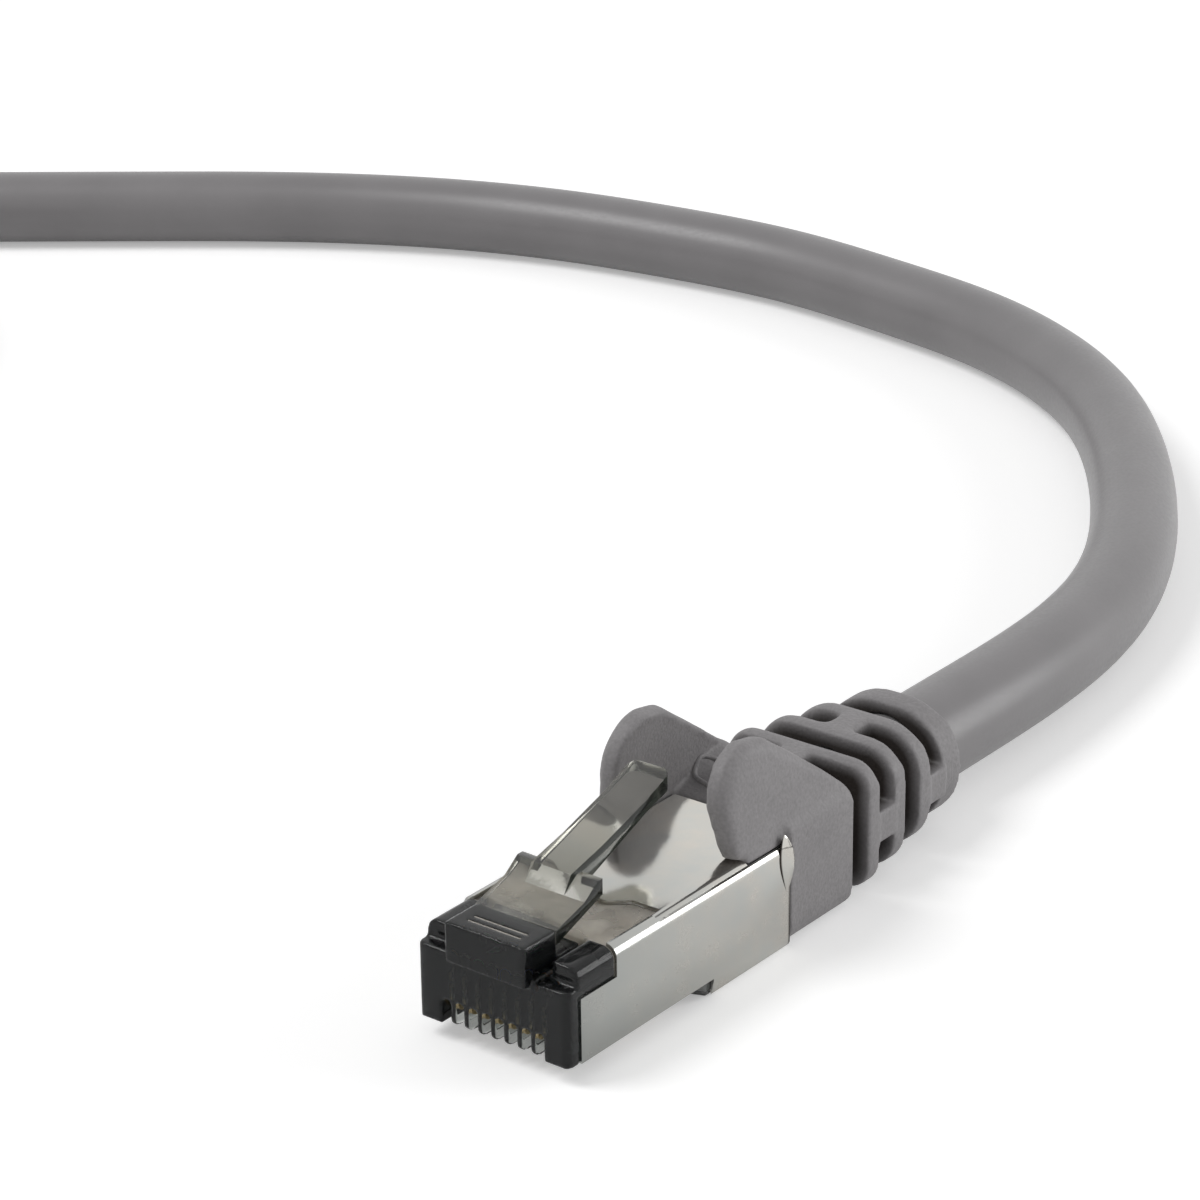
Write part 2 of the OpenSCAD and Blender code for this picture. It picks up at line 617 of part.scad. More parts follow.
// Puts a piece of a plug on the near end of the cord
module near() {
  translate([plug_shift, 0, 0]) children();
}

// Puts a piece of a plug on the far end, turned a quarter so that its cord comes from +Y
module far() {
  translate(far_place) rotate([0, 0, 90]) translate([plug_shift, 0, 0]) children();
}

module cord_colour() {
  color([0.5, 0.49, 0.48]) children();
}

near() housing_body();  // plug_housing
near() latch_body();  // latch
near() blade(0);  // contact_1
near() blade(1);  // contact_2
near() blade(2);  // contact_3
near() blade(3);  // contact_4
near() blade(4);  // contact_5
near() blade(5);  // contact_6
near() blade(6);  // contact_7
near() blade(7);  // contact_8
near() bar_body();  // load_bar
near() wire(0);  // wire_1
near() wire(1);  // wire_2
near() wire(2);  // wire_3
near() wire(3);  // wire_4
near() wire(4);  // wire_5
near() wire(5);  // wire_6
near() wire(6);  // wire_7
near() wire(7);  // wire_8
near() spline_body();  // wire_spline
near() drain_body();  // drain_wire
near() foil_body();  // foil_screen
near() can_body();  // shield_can
near() premould_body();  // rear_premould
near() jacket_body();  // jacket_end
near() boot_body();  // boot
cord_colour() tube(lead_all, cord_d, 12);  // cord_lead
cord_colour() tube(coil_route, cord_d, 6);  // cord_coil
tie_body();  // coil_tie
cord_colour() tube(tail_all, cord_d, 12);  // cord_tail
far() housing_body();  // far_housing
far() latch_body();  // far_latch
far() for (i = [0:ways - 1]) blade(i);  // far_contacts
far() bar_body();  // far_load_bar
far() for (i = [0:ways - 1]) wire(i);  // far_wires
far() spline_body();  // far_spline
far() drain_body();  // far_drain_wire
far() foil_body();  // far_foil_screen
far() can_body();  // far_shield
far() premould_body();  // far_premould
far() jacket_body();  // far_jacket_end
far() boot_body();  // far_boot
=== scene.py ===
import contextlib
import itertools
import math

import bmesh
import bpy
import numpy as np
from mathutils import Matrix, Vector
from mathutils.bvhtree import BVHTree


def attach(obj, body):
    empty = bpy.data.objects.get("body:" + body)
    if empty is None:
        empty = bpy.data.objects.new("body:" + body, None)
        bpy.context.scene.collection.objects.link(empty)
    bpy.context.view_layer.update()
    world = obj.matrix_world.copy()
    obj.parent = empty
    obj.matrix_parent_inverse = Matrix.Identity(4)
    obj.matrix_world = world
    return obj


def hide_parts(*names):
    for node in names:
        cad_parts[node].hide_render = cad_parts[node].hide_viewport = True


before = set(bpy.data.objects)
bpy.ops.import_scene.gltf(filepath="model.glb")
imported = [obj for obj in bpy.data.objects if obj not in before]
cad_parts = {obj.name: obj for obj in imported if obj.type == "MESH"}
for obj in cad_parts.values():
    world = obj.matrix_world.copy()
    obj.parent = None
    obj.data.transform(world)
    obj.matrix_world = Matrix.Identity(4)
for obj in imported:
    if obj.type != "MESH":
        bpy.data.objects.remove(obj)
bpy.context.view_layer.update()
collection = bpy.context.scene.collection
print("frame loaded with", len(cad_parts), "nodes")

# Camera: metres and degrees, where azimuth 0 looks along +Y
cameraSettings = {
    "target": (0.03012, 0.0319, 0.0042), "azimuth": -51.8, "elevation": 22.91, "roll": -0.76,
    "distance": 0.29093, "lens": 119.67, "sensor": 36.0, "clip": 0.01,
}


def addCamera(settings):
    around, above, roll = (math.radians(settings[k]) for k in ("azimuth", "elevation", "roll"))
    back = Vector((
        math.sin(around) * math.cos(above),
        -math.cos(around) * math.cos(above),
        math.sin(above),
    ))
    level = Vector((math.cos(around), math.sin(around), 0))
    right = level * math.cos(roll) + back.cross(level) * math.sin(roll)
    up = back.cross(right)
    data = bpy.data.cameras.new("camera")
    data.lens = settings["lens"]
    data.sensor_width = settings["sensor"]
    data.clip_start = settings["clip"]
    camera = bpy.data.objects.new("camera", data)
    turn = Matrix((right, up, back)).transposed().to_4x4()
    camera.matrix_world = Matrix.Translation(Vector(settings["target"]) + back * settings["distance"]) @ turn
    collection.objects.link(camera)
    bpy.context.scene.camera = camera


addCamera(cameraSettings)
print("camera placed")


class Signal:  # one socket, on which Python's own signs add Math nodes
    def __init__(self, graph, socket):
        self.graph = graph
        self.socket = socket

    def __add__(self, other):
        return self.graph.maths("ADD", self, other)

    def __radd__(self, other):
        return self.graph.maths("ADD", other, self)

    def __sub__(self, other):
        return self.graph.maths("SUBTRACT", self, other)

    def __rsub__(self, other):
        return self.graph.maths("SUBTRACT", other, self)

    def __mul__(self, other):
        return self.graph.maths("MULTIPLY", self, other)

    def __truediv__(self, other):
        return self.graph.maths("DIVIDE", self, other)


class Graph:
    def __init__(self, tree):
        self.tree = tree
        tree.nodes.clear()

    def node(self, kind, settings=None, inputs=None, output=0):
        made = self.tree.nodes.new(kind)
        for key, value in (settings or {}).items():
            setattr(made, key, value)
        for key, value in (inputs or {}).items():
            if isinstance(value, Signal):
                self.tree.links.new(value.socket, made.inputs[key])
            else:
                made.inputs[key].default_value = value
        return Signal(self, made.outputs[output])

    def finish(self, kind, sockets):  # the tree's output node
        made = self.tree.nodes.new(kind)
        for key, signal in sockets.items():
            self.tree.links.new(signal.socket, made.inputs[key])

    def maths(self, operation, *values):
        return self.node("ShaderNodeMath", {"operation": operation}, dict(enumerate(values)))

    def mixColour(self, factor, a, b):
        return self.node("ShaderNodeMix", {"data_type": "RGBA"}, {0: factor, 6: a, 7: b}, output=2)

    def spread(self, value, low, high, toLow=0.0, toHigh=1.0):
        return self.node("ShaderNodeMapRange", {}, {0: value, 1: low, 2: high, 3: toLow, 4: toHigh})

    def vary(self, grain, toLow=0.0, toHigh=1.0):  # noise mostly stays between 0.3 and 0.7
        return self.spread(grain, 0.3, 0.7, toLow, toHigh)

    def axis(self, vector, index):
        return self.node("ShaderNodeSeparateXYZ", {}, {0: vector}, output=index)

    def attribute(self, name):
        return self.node("ShaderNodeAttribute", {"attribute_name": name}, output=2)

    def stored(self, geometry, name, value):
        inputs = {"Geometry": geometry, "Name": name, "Value": value}
        return self.node("GeometryNodeStoreNamedAttribute", {}, inputs)

    def place(self):
        return self.node("ShaderNodeTexCoord", output=3)

    def noise(self, point, scale, detail=3.0, rough=0.5):
        return self.node("ShaderNodeTexNoise", {}, {
            "Vector": point, "Scale": scale, "Detail": detail, "Roughness": rough,
        })

    def bump(self, height, strength, distance, **others):
        return self.node("ShaderNodeBump", {}, {
            "Strength": strength, "Distance": distance, "Height": height, **others,
        })

    def surface(self, inputs, **others):
        shader = self.node("ShaderNodeBsdfPrincipled", {}, inputs)
        self.finish("ShaderNodeOutputMaterial", {"Surface": shader, **others})


def rgb(colour, gain=1.0):
    return (*(c * gain for c in colour), 1)


def material(name):
    made = bpy.data.materials.new(name)
    made.use_nodes = True
    return made, Graph(made.node_tree)


noseSettings = {
    "clear": (0.42, 0.45, 0.47), "smoke": (0.38, 0.41, 0.40), "depth": 2700.0, "rough": 0.06, "ior": 1.32,
    "milk": 0.022, "patchy": 0.75, "flow": 600.0, "bump": 0.05,
}
teethSettings = {**noseSettings, "clear": (0.93, 0.94, 0.92), "depth": 1500.0, "ior": 1.4, "milk": 0.0}
# Body: the same plastic as the nose in a lighter, milkier copy, painted light for the light that falls into the
# real body and lights it from inside
paintedLightBodySettings = {
    **noseSettings, "clear": (0.96, 0.90, 0.81), "smoke": (0.44, 0.42, 0.36), "depth": 430.0, "rough": 0.2,
    "ior": 1.36, "milk": 0.42, "patchy": 0.66,
}
latchSettings = {
    **noseSettings, "clear": (0.96, 0.95, 0.91), "smoke": (0.42, 0.42, 0.37), "depth": 820.0, "rough": 0.07,
    # the side colour is painted shade: the darker colour of the latch's faces that look to a side or to the
    # rear
    "ior": 1.4, "milk": 0.05, "patchy": 0.95, "side": (0.10, 0.115, 0.105),
}
bootSettings = {
    # the last colour is painted shade, the near black inside the gaps between the ribs
    "colour": (0.225, 0.216, 0.22), "deep": 0.88, "pale": 1.12, "gapShadeColour": (0.022, 0.017, 0.0145),
    "grain": 5200.0, "fine": 4160.0, "broad": 260.0, "rough": 0.6, "roughBy": 0.08, "bump": 0.5,
}
jacketSettings = {
    "colour": (0.205, 0.197, 0.201), "deep": 0.94, "pale": 1.06, "tone": 140.0, "ripple": 90.0, "fine": 3500.0,
    "twistAlong": 420.0, "twistAround": 12.566, "rough": 0.36, "roughBy": 0.05, "bump": 0.08,
}
nickelSettings = {
    # the front colour is painted shade: the sheet turns darker towards the plug's front
    "front": (0.35, 0.36, 0.347), "colour": (0.57, 0.575, 0.55), "warm": (0.62, 0.59, 0.54), "rough": 0.12,
    "dullSides": 1.9, "frontShadeFadeFrom": 0.001, "frontShadeFadeBy": 0.021, "twistFrom": 0.009, "twist": 20.8,
    # the side share is painted shade: the sides keep only this share of the colour and are darker than the top
    "sideShadeKeeps": 0.87, "shadeLine": (0.03, 0.025, 0.022), "stain": 420.0, "fine": 9000.0, "sideTo": 0.0072,
    "topFrom": 0.0073, "bump": 0.06,
}


def smokedPlastic(name, settings):
    made, graph = material(name)
    flow = graph.vary(graph.noise(graph.place(), settings["flow"]))
    base = graph.mixColour(flow, rgb(settings["clear"]), rgb(settings["clear"], settings["patchy"]))
    # painted shade: faces marked as looking to a side or to the rear take the darker side colour
    if "side" in settings:
        base = graph.mixColour(graph.attribute("side"), base, rgb(settings["side"]))
    volume = graph.node("ShaderNodeVolumeAbsorption", {}, {
        "Color": rgb(settings["smoke"]), "Density": settings["depth"],
    })
    graph.surface({
        "Base Color": base,
        "Roughness": graph.vary(flow, settings["rough"] * 0.6, settings["rough"] * 1.5),
        "IOR": settings["ior"],
        "Transmission Weight": 1 - settings["milk"],
        "Normal": graph.bump(flow, settings["bump"], distance=0.0001),
    }, Volume=volume)
    return made


def mouldedBoot(name, settings):
    made, graph = material(name)
    point = graph.place()
    cells = {"Vector": point, "Scale": settings["grain"]}
    grain = graph.node("ShaderNodeTexVoronoi", {"feature": "SMOOTH_F1"}, cells)
    fine = graph.noise(point, settings["fine"], detail=2.0)
    speckle = graph.spread(fine * 0.6 + graph.noise(point, settings["broad"]) * 0.4, 0.35, 0.65)
    skin = graph.mixColour(
        speckle, rgb(settings["colour"], settings["deep"]), rgb(settings["colour"], settings["pale"]),
    )
    rough, roughBy = settings["rough"], settings["roughBy"]
    graph.surface({
        # painted shade: the boot darkens to a near-black colour inside the gaps between the ribs
        "Base Color": graph.mixColour(graph.attribute("gapShadeAmount"), skin, rgb(settings["gapShadeColour"])),
        "Roughness": graph.spread(grain, 0.0, 0.7, rough + roughBy, rough - roughBy),
        "Normal": graph.bump(grain * 0.7 + fine * 0.5, settings["bump"], distance=0.00006),
    })
    return made


def smoothJacket(name, settings):
    made, graph = material(name)
    point = graph.place()
    run = graph.node("ShaderNodeUVMap")
    turn = graph.axis(run, 0) * settings["twistAlong"] + graph.axis(run, 1) * settings["twistAround"]
    fine = graph.noise(point, settings["fine"])
    ripple = graph.noise(point, settings["ripple"], detail=2.0)
    height = graph.maths("SINE", turn) * 0.12 + ripple * 0.6 + fine * 0.05
    tone = graph.vary(graph.noise(point, settings["tone"], detail=4.0))
    colour, rough, roughBy = settings["colour"], settings["rough"], settings["roughBy"]
    graph.surface({
        "Base Color": graph.mixColour(tone, rgb(colour, settings["deep"]), rgb(colour, settings["pale"])),
        "Roughness": graph.vary(fine, rough - roughBy, rough + roughBy),
        "Normal": graph.bump(height, settings["bump"], distance=0.0006),
    })
    return made


def nickelSheet(name, settings):
    made, graph = material(name)
    point = graph.place()
    stain = graph.noise(point, settings["stain"], detail=4.0, rough=0.6)
    fine = graph.noise(point, settings["fine"], detail=2.0)
    sheet = graph.node("ShaderNodeUVMap")
    along = graph.axis(sheet, 0)
    top = graph.spread(graph.axis(point, 2), settings["sideTo"], settings["topFrom"])
    behind = graph.maths("MAXIMUM", along - settings["twistFrom"], 0.0)
    warp = behind * graph.axis(sheet, 1) * top * settings["twist"]  # bends what the top mirrors
    bent = graph.bump(warp, strength=1.0, distance=1.0)
    plate = graph.mixColour(graph.spread(stain, 0.35, 0.7), rgb(settings["colour"]), rgb(settings["warm"]))
    # painted shade: the colour darkens towards the plug's front and fades into the plate colour further back
    frontShadeFade = graph.spread(along + stain * 0.002, settings["frontShadeFadeFrom"], settings["frontShadeFadeBy"])
    plate = graph.mixColour(frontShadeFade, rgb(settings["front"]), plate)
    # painted shade: the sides below the top are darkened towards black
    plate = graph.mixColour((1.0 - top) * (1 - settings["sideShadeKeeps"]), plate, rgb((0, 0, 0)))
    dull = top * (1 - settings["dullSides"]) + settings["dullSides"]
    worn = graph.spread(stain + fine * 0.3, 0.4, 0.9, settings["rough"] * 0.7, settings["rough"] * 1.4)
    graph.surface({
        # painted shade: dark lines along the sheet's rear edge and the pleats' outlines
        "Base Color": graph.mixColour(graph.attribute("shadeLine"), plate, rgb(settings["shadeLine"])),
        "Metallic": 1.0,
        "Roughness": worn * dull,
        "Normal": graph.bump(fine + stain * 2.0, settings["bump"], distance=0.00003, Normal=bent),
    })
    return made


def plainMetal(name, colour, rough, grainScale, bump):
    made, graph = material(name)
    grain = graph.noise(graph.place(), grainScale, detail=4.0, rough=0.6)
    graph.surface({
        "Base Color": graph.mixColour(grain, rgb(colour, 0.85), rgb(colour)),
        "Metallic": 1.0,
        "Roughness": graph.vary(grain, rough * 0.7, rough * 1.3),
        "Normal": graph.bump(grain, bump, distance=0.00005),
    })
    return made


def plainPlastic(name, colour, rough):
    made, graph = material(name)
    grain = graph.noise(graph.place(), scale=2500.0)
    graph.surface({
        "Base Color": graph.mixColour(grain, rgb(colour, 0.9), rgb(colour, 1.08)),
        "Roughness": graph.vary(grain, rough - 0.06, rough + 0.06),
        "Normal": graph.bump(grain, strength=0.1, distance=0.00003),
    })
    return made


nosePlastic = smokedPlastic("smokedNose", noseSettings)
teethPlastic = smokedPlastic("smokedTeeth", teethSettings)
paintedLightBodyPlastic = smokedPlastic("smokedBody", paintedLightBodySettings)
latchPlastic = smokedPlastic("smokedLatch", latchSettings)
bootPlastic = mouldedBoot("bootPlastic", bootSettings)
jacketPlastic = smoothJacket("jacketPlastic", jacketSettings)
nickel = nickelSheet("nickelSheet", nickelSettings)
gold = plainMetal("goldPlate", (0.55, 0.43, 0.25), rough=0.28, grainScale=3000.0, bump=0.1)
foil = plainMetal("screenFoil", (0.80, 0.81, 0.83), rough=0.25, grainScale=900.0, bump=0.6)
tinned = plainMetal("tinnedWire", (0.76, 0.76, 0.77), rough=0.3, grainScale=4000.0, bump=0.2)
natural = plainPlastic("naturalPlastic", (0.74, 0.74, 0.70), rough=0.4)
hardMould = plainPlastic("hardMould", (0.28, 0.28, 0.29), rough=0.5)
jacketEnd = plainPlastic("jacketEnd", (0.205, 0.198, 0.200), rough=0.42)
print("materials made")


def ramp(value, low, high):
    return min(1, max(0, (value - low) / (high - low)))


def addPiece(name, mesh, body, slot, finish, *nodes):
    mesh.name = name
    mesh.materials.clear()
    mesh.materials.append(finish)
    piece = bpy.data.objects.new(name, mesh)
    collection.objects.link(piece)
    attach(piece, body)
    if nodes:
        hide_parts(*nodes)
    return piece


# Cord: one smooth run from the near boot through the coil to the far boot
cordSettings = {
    "diameter": 0.0067, "lie": 0.0034, "ringStep": 0.0013, "sides": 36,
    "exit": [(0.0219, 0, 0.004), (0.029, 0, 0.004), (0.043, 0.0009, 0.0036)],
    "lead": [
        (0.053, 0.0029), (0.0613, 0.006), (0.0689, 0.01005), (0.08, 0.0176), (0.0886, 0.0254),
        (0.09505, 0.03425), (0.09935, 0.04395), (0.1019, 0.055), (0.1037, 0.068), (0.1031, 0.08),
        (0.1012, 0.092), (0.097, 0.1046), (0.0907, 0.1164), (0.0822, 0.1286), (0.0736, 0.1403), (0.0656, 0.151),
    ],
    "coilCentre": (0.0162, 0.15), "coilRadius": 0.0401, "coilFrom": 36.87, "coilSweep": 863.13, "coilSteps": 58,
    "turnGap": 0.0074, "climb": 90, "tieAt": 270, "tieReach": 45, "tieLift": 0.0008, "runOut": 0.0072,
    "tail": [  # Y and Z
        (0.135, 0.0108), (0.128, 0.0098), (0.121, 0.0076), (0.1145, 0.005), (0.108, 0.004), (0.101, 0.004),
    ],
}


def coilPoint(wound, c):  # the second half of the winding lies on the first and runs outward again
    half = c["coilSweep"] / 2
    climb = ramp(wound - half, -c["climb"], c["climb"])
    height = c["lie"] + c["turnGap"] * (1 - math.cos(math.pi * climb)) / 2
    turned = c["coilFrom"] + wound
    off = abs((turned - c["tieAt"] + 900) % 360 - 180)
    if off < c["tieReach"]:
        height += c["tieLift"] * math.cos(math.pi / 2 * off / c["tieReach"]) ** 2
    radius = c["coilRadius"] - c["turnGap"] * (half - abs(wound - half)) / 360
    a = math.radians(turned)
    x, y = c["coilCentre"]
    return Vector((x + radius * math.cos(a), y + radius * math.sin(a), height))


def cordRoute(c):
    a = math.radians(c["coilFrom"])
    entry = Vector((-math.sin(a), math.cos(a), 0))
    turns = [coilPoint(c["coilSweep"] * i / c["coilSteps"], c) for i in range(c["coilSteps"] + 1)]
    start = turns[0] - entry * c["runOut"]
    finish = turns[-1] - Vector((0, c["runOut"], 0))
    lead = [Vector((x, y, c["lie"])) for x, y in c["lead"]]
    tail = [Vector((finish.x, y, z)) for y, z in c["tail"]]
    return [*(Vector(p) for p in c["exit"]), *lead, start - entry * c["runOut"], start, *turns, finish, *tail]


def gaps(points):
    return np.linalg.norm(np.diff(points, axis=0), axis=1)


def distances(points):  # how far along each point lies
    return np.concatenate([[0], np.cumsum(gaps(points))])


def smoothPath(points, step):  # natural cubic spline through the points, in even steps
    p = np.array([tuple(q) for q in points])
    t = distances(p)
    h = np.diff(t)
    n = len(p)
    system = np.eye(n)
    right = np.zeros((n, 3))
    for i in range(1, n - 1):
        system[i, i - 1:i + 2] = h[i - 1], 2 * (h[i - 1] + h[i]), h[i]
        right[i] = 6 * ((p[i + 1] - p[i]) / h[i] - (p[i] - p[i - 1]) / h[i - 1])
    bend = np.linalg.solve(system, right)
    s = np.linspace(0, t[-1], int(t[-1] / step) + 1)
    i = np.clip(np.searchsorted(t, s, side="right") - 1, 0, n - 2)
    u, v, w = (s - t[i])[:, None], (t[i + 1] - s)[:, None], h[i][:, None]
    return (
        bend[i] * v ** 3 / (6 * w) + bend[i + 1] * u ** 3 / (6 * w)
        + (p[i] / w - bend[i] * w / 6) * v + (p[i + 1] / w - bend[i + 1] * w / 6) * u
    )


def tubeFaces(rings, sides, closed=False):  # quads round a tube, with two caps unless it closes on itself
    faces = []
    for i in range(rings if closed else rings - 1):
        near, far = i * sides, (i + 1) % rings * sides
        faces += [(near + k, far + k, far + (k + 1) % sides, near + (k + 1) % sides) for k in range(sides)]
    if not closed:
        last = (rings - 1) * sides
        faces += [tuple(range(sides)), tuple(last + k for k in reversed(range(sides)))]
    return faces


def tubeMesh(name, path, radius, sides):
    tangent = np.gradient(path, axis=0)
    tangent /= np.linalg.norm(tangent, axis=1)[:, None]
    side = np.cross((0, 0, 1), tangent)
    side /= np.linalg.norm(side, axis=1)[:, None]
    up = np.cross(tangent, side)
    angle = np.linspace(0, 2 * math.pi, sides, endpoint=False)
    ring = np.cos(angle)[None, :, None] * side[:, None] + np.sin(angle)[None, :, None] * up[:, None]
    points = (path[:, None] + radius * ring).reshape(-1, 3)
    mesh = bpy.data.meshes.new(name)
    mesh.from_pydata(points.tolist(), [], tubeFaces(len(path), sides))
    run = distances(path)
    layer = mesh.uv_layers.new(name="UVMap").data
    for polygon in mesh.polygons:
        polygon.use_smooth = len(polygon.vertices) == 4
        wraps = {v % sides for v in polygon.vertices} == {0, sides - 1}
        for loop in polygon.loop_indices:
            i, k = divmod(mesh.loops[loop].vertex_index, sides)
            layer[loop].uv = run[i], (1 if wraps and k == 0 else k / sides)
    return mesh


cordPath = smoothPath(cordRoute(cordSettings), cordSettings["ringStep"])
cordMesh = tubeMesh("roundCord", cordPath, cordSettings["diameter"] / 2, cordSettings["sides"])
cordNodes = ["cord_lead", "cord_coil", "cord_tail"]
cordPiece = addPiece("roundCord", cordMesh, "cable", "jacket", jacketPlastic, *cordNodes)


@contextlib.contextmanager
def edited(mesh):  # a mesh opened for editing, and written back at the end
    work = bmesh.new()
    work.from_mesh(mesh)
    yield work
    work.to_mesh(mesh)
    work.free()


def faceOut(work, start=0):
    bmesh.ops.recalc_face_normals(work, faces=list(work.faces)[start:])


def mergedCopy(name, node):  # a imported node's loose triangles as one merged mesh
    mesh = bpy.data.meshes.new(name)
    with edited(mesh) as work:
        work.from_mesh(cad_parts[node].data)
        bmesh.ops.remove_doubles(work, verts=work.verts, dist=2e-6)
        faceOut(work)
    return mesh


def helperObject(name, mesh):
    helper = bpy.data.objects.new(name, mesh)
    collection.objects.link(helper)
    return helper


def modified(helper, kind, settings):  # the helper's mesh after one modifier, and the helper removed
    modifier = helper.modifiers.new(kind.lower(), kind)
    for key, value in settings.items():
        setattr(modifier, key, value)
    return applied(helper)


def applied(helper):
    depsgraph = bpy.context.evaluated_depsgraph_get()
    mesh = bpy.data.meshes.new_from_object(helper.evaluated_get(depsgraph), depsgraph=depsgraph)
    bpy.data.objects.remove(helper)
    return mesh


def remeshed(name, mesh, voxel):
    settings = {"mode": "VOXEL", "voxel_size": voxel, "use_smooth_shade": True}
    return modified(helperObject(name, mesh), "REMESH", settings)


def relaxed(name, mesh, passes, weightOf=None):  # rounds the edges, by a weight for each point if one is given
    helper = helperObject(name, mesh)
    smooth = {"factor": 0.5, "iterations": passes}
    if weightOf:
        group = helper.vertex_groups.new(name="round")
        for vertex in mesh.vertices:
            weight = weightOf(vertex.co)
            if weight > 0:
                group.add([vertex.index], weight, "REPLACE")
        smooth["vertex_group"] = "round"
    return modified(helper, "SMOOTH", smooth)


def shadeSmooth(mesh, angle):
    for polygon in mesh.polygons:
        polygon.use_smooth = True
    mesh.set_sharp_from_angle(angle=math.radians(angle))


def crispBevel(mesh, settings):  # merges what is flat and rounds the edges sharper than an angle
    with edited(mesh) as work:
        bmesh.ops.dissolve_limit(work, angle_limit=math.radians(1), verts=work.verts, edges=work.edges)
        sharp = math.radians(settings["angle"])
        edges = [e for e in work.edges if len(e.link_faces) == 2 and e.calc_face_angle() > sharp]
        bmesh.ops.bevel(
            work, geom=edges, offset=settings["bevel"], segments=settings["segments"], affect="EDGES",
            profile=0.5, clamp_overlap=True,
        )
        bmesh.ops.dissolve_degenerate(work, dist=1e-6, edges=work.edges)
        bmesh.ops.triangulate(work, faces=[f for f in work.faces if len(f.verts) > 4])
    shadeSmooth(mesh, 35)


def addBox(work, low, high):  # one closed box among a bmesh's faces
    corners = [work.verts.new(place) for place in itertools.product(*zip(low, high))]
    for ring in ((0, 1, 3, 2), (4, 6, 7, 5), (0, 4, 5, 1), (2, 3, 7, 6), (0, 2, 6, 4), (1, 5, 7, 3)):
        work.faces.new([corners[i] for i in ring])


def carved(name, mesh, boxes, operation="DIFFERENCE"):  # cut by boxes, or the part inside them
    cutterMesh = bpy.data.meshes.new("cutter")
    with edited(cutterMesh) as work:
        for box in boxes:
            addBox(work, *box)
        faceOut(work)
    cutter = helperObject("cutter", cutterMesh)
    settings = {"operation": operation, "solver": "MANIFOLD", "object": cutter}
    result = modified(helperObject(name, mesh), "BOOLEAN", settings)
    bpy.data.objects.remove(cutter)
    return result


def cutAway(work, place, direction, **cleared):  # clears one side of a plane, and gives the open rim's edges
    cut = bmesh.ops.bisect_plane(
        work, geom=[*work.verts, *work.edges, *work.faces], plane_co=place, plane_no=direction, **cleared,
    )
    return [part for part in cut["geom_cut"] if isinstance(part, bmesh.types.BMEdge)]


def closeRim(work, rim):
    bmesh.ops.triangle_fill(work, edges=rim, use_beauty=True)
    faceOut(work)


nose = -0.0213  # the nose face along X
farPlug = {"place": (-0.0239, 0.0791, 0), "turn": 90}
toFar = Matrix.Translation(farPlug["place"]) @ Matrix.Rotation(math.radians(farPlug["turn"]), 4, "Z")


def addPair(name, mesh, slot, finish, nodes=(), farNodes=(), body="cable"):  # a piece and its far copy
    farName = "far" + name[0].upper() + name[1:]
    farMesh = mesh.copy()
    farMesh.transform(toFar)
    addPiece(name, mesh, body, slot, finish, *nodes)
    farBody = body if body == "cable" else "far_" + body
    return addPiece(farName, farMesh, farBody, slot, finish, *farNodes)


# Boot: the ribs and the two ears, with soft moulded edges
bootShape = {
    "voxel": 0.00015, "passes": 6,
    "earPasses": 7, "earBack": 0.0202, "earBand": 0.0182, "earFoot": 0.0072, "earFootFade": 0.0008,
    "earEdge": (0.0195, 0.0205), "earEdgeDeep": 0.0007, "earEdgeFade": 0.0004,
    "earSide": 0.00555, "earThick": 0.00155, "earLean": 7, "earSkin": 0.0003, "earRound": 0.00065,
    "earBase": 0.0075, "earBaseFade": 0.0015, "earBackFade": 0.003, "earReach": 0.0003, "earReachFade": 0.002,
    "earPush": 0.00062, "earPushTurn": (58, 190), "earFront": 0.017, "earCentre": (0.0204, 0.0108),
    "earRadius": 0.0034, "earSlope": ((0.0221, 0.0139), (0.0292, 0.0089)),
    "bridge": (
        (0.0232, 0.00715), (0.0232, 0.00755), (0.0252, 0.0082), (0.0275, 0.00875), (0.029, 0.0089),
        (0.029, 0.0072),
    ),
    "bridgeSide": 0.0042, "bridgeSink": 0.0004, "bridgePasses": 40, "bridgeHollow": (0.0236, 0.0245),
    "bridgeEnd": 0.0285, "bridgeEndFade": 0.001, "bridgeFoot": (0.0077, 0.0079), "bridgeEdge": 0.0046,
    "bridgeEdgeFade": 0.0004,
    "filletFrom": 0.0236, "filletTo": 0.0286, "filletSide": 0.0029, "filletRises": (0.0011, 0.00088, 0.0001),
    "cornerRound": 0.0016, "cornerMost": 0.95, "slopeDrop": 0.0003, "slopeFrom": 0.0015, "slopeBy": 0.0005,
    "slopePast": 0.00015, "slopeFoot": 0.0074, "slopeSide": (0.0036, 0.0042),
    "fairFoot": 0.0062, "fairTop": 0.0108, "fairSide": 0.00514, "fairInner": 0.0045, "fairFacing": 0.3,
    "fairFrom": 0.0227, "fairFade": 0.001, "fairEndFade": 0.0012,
    "gapFrom": 0.0292, "gap": 0.002, "gapPitch": 0.0033, "gaps": 4, "gapLip": (-0.00035, -0.0001),
    "ribsTo": 0.0432,
    "section": ((0.0117, 0.0096), (0.0089, 0.00845), (0.0013, 0.0041)),  # width, height, corner: front and back
    "skin": 0.00012, "deep": 0.001,  # how far inside the ribs' outer form the painted shade in a gap starts and is darkest
}


def earWeight(point, s=bootShape):  # the ears' front edge and the edge along their slope
    x = point.x - nose
    front = ramp(s["earBack"] - x, 0, s["earBack"] - s["earBand"])
    edge = ramp(x, *s["earEdge"]) * ramp(s["earEdgeDeep"] - earInset(x, point.z, s), 0, s["earEdgeFade"])
    return max(front, edge) * ramp(point.z, s["earFoot"], s["earFoot"] + s["earFootFade"])


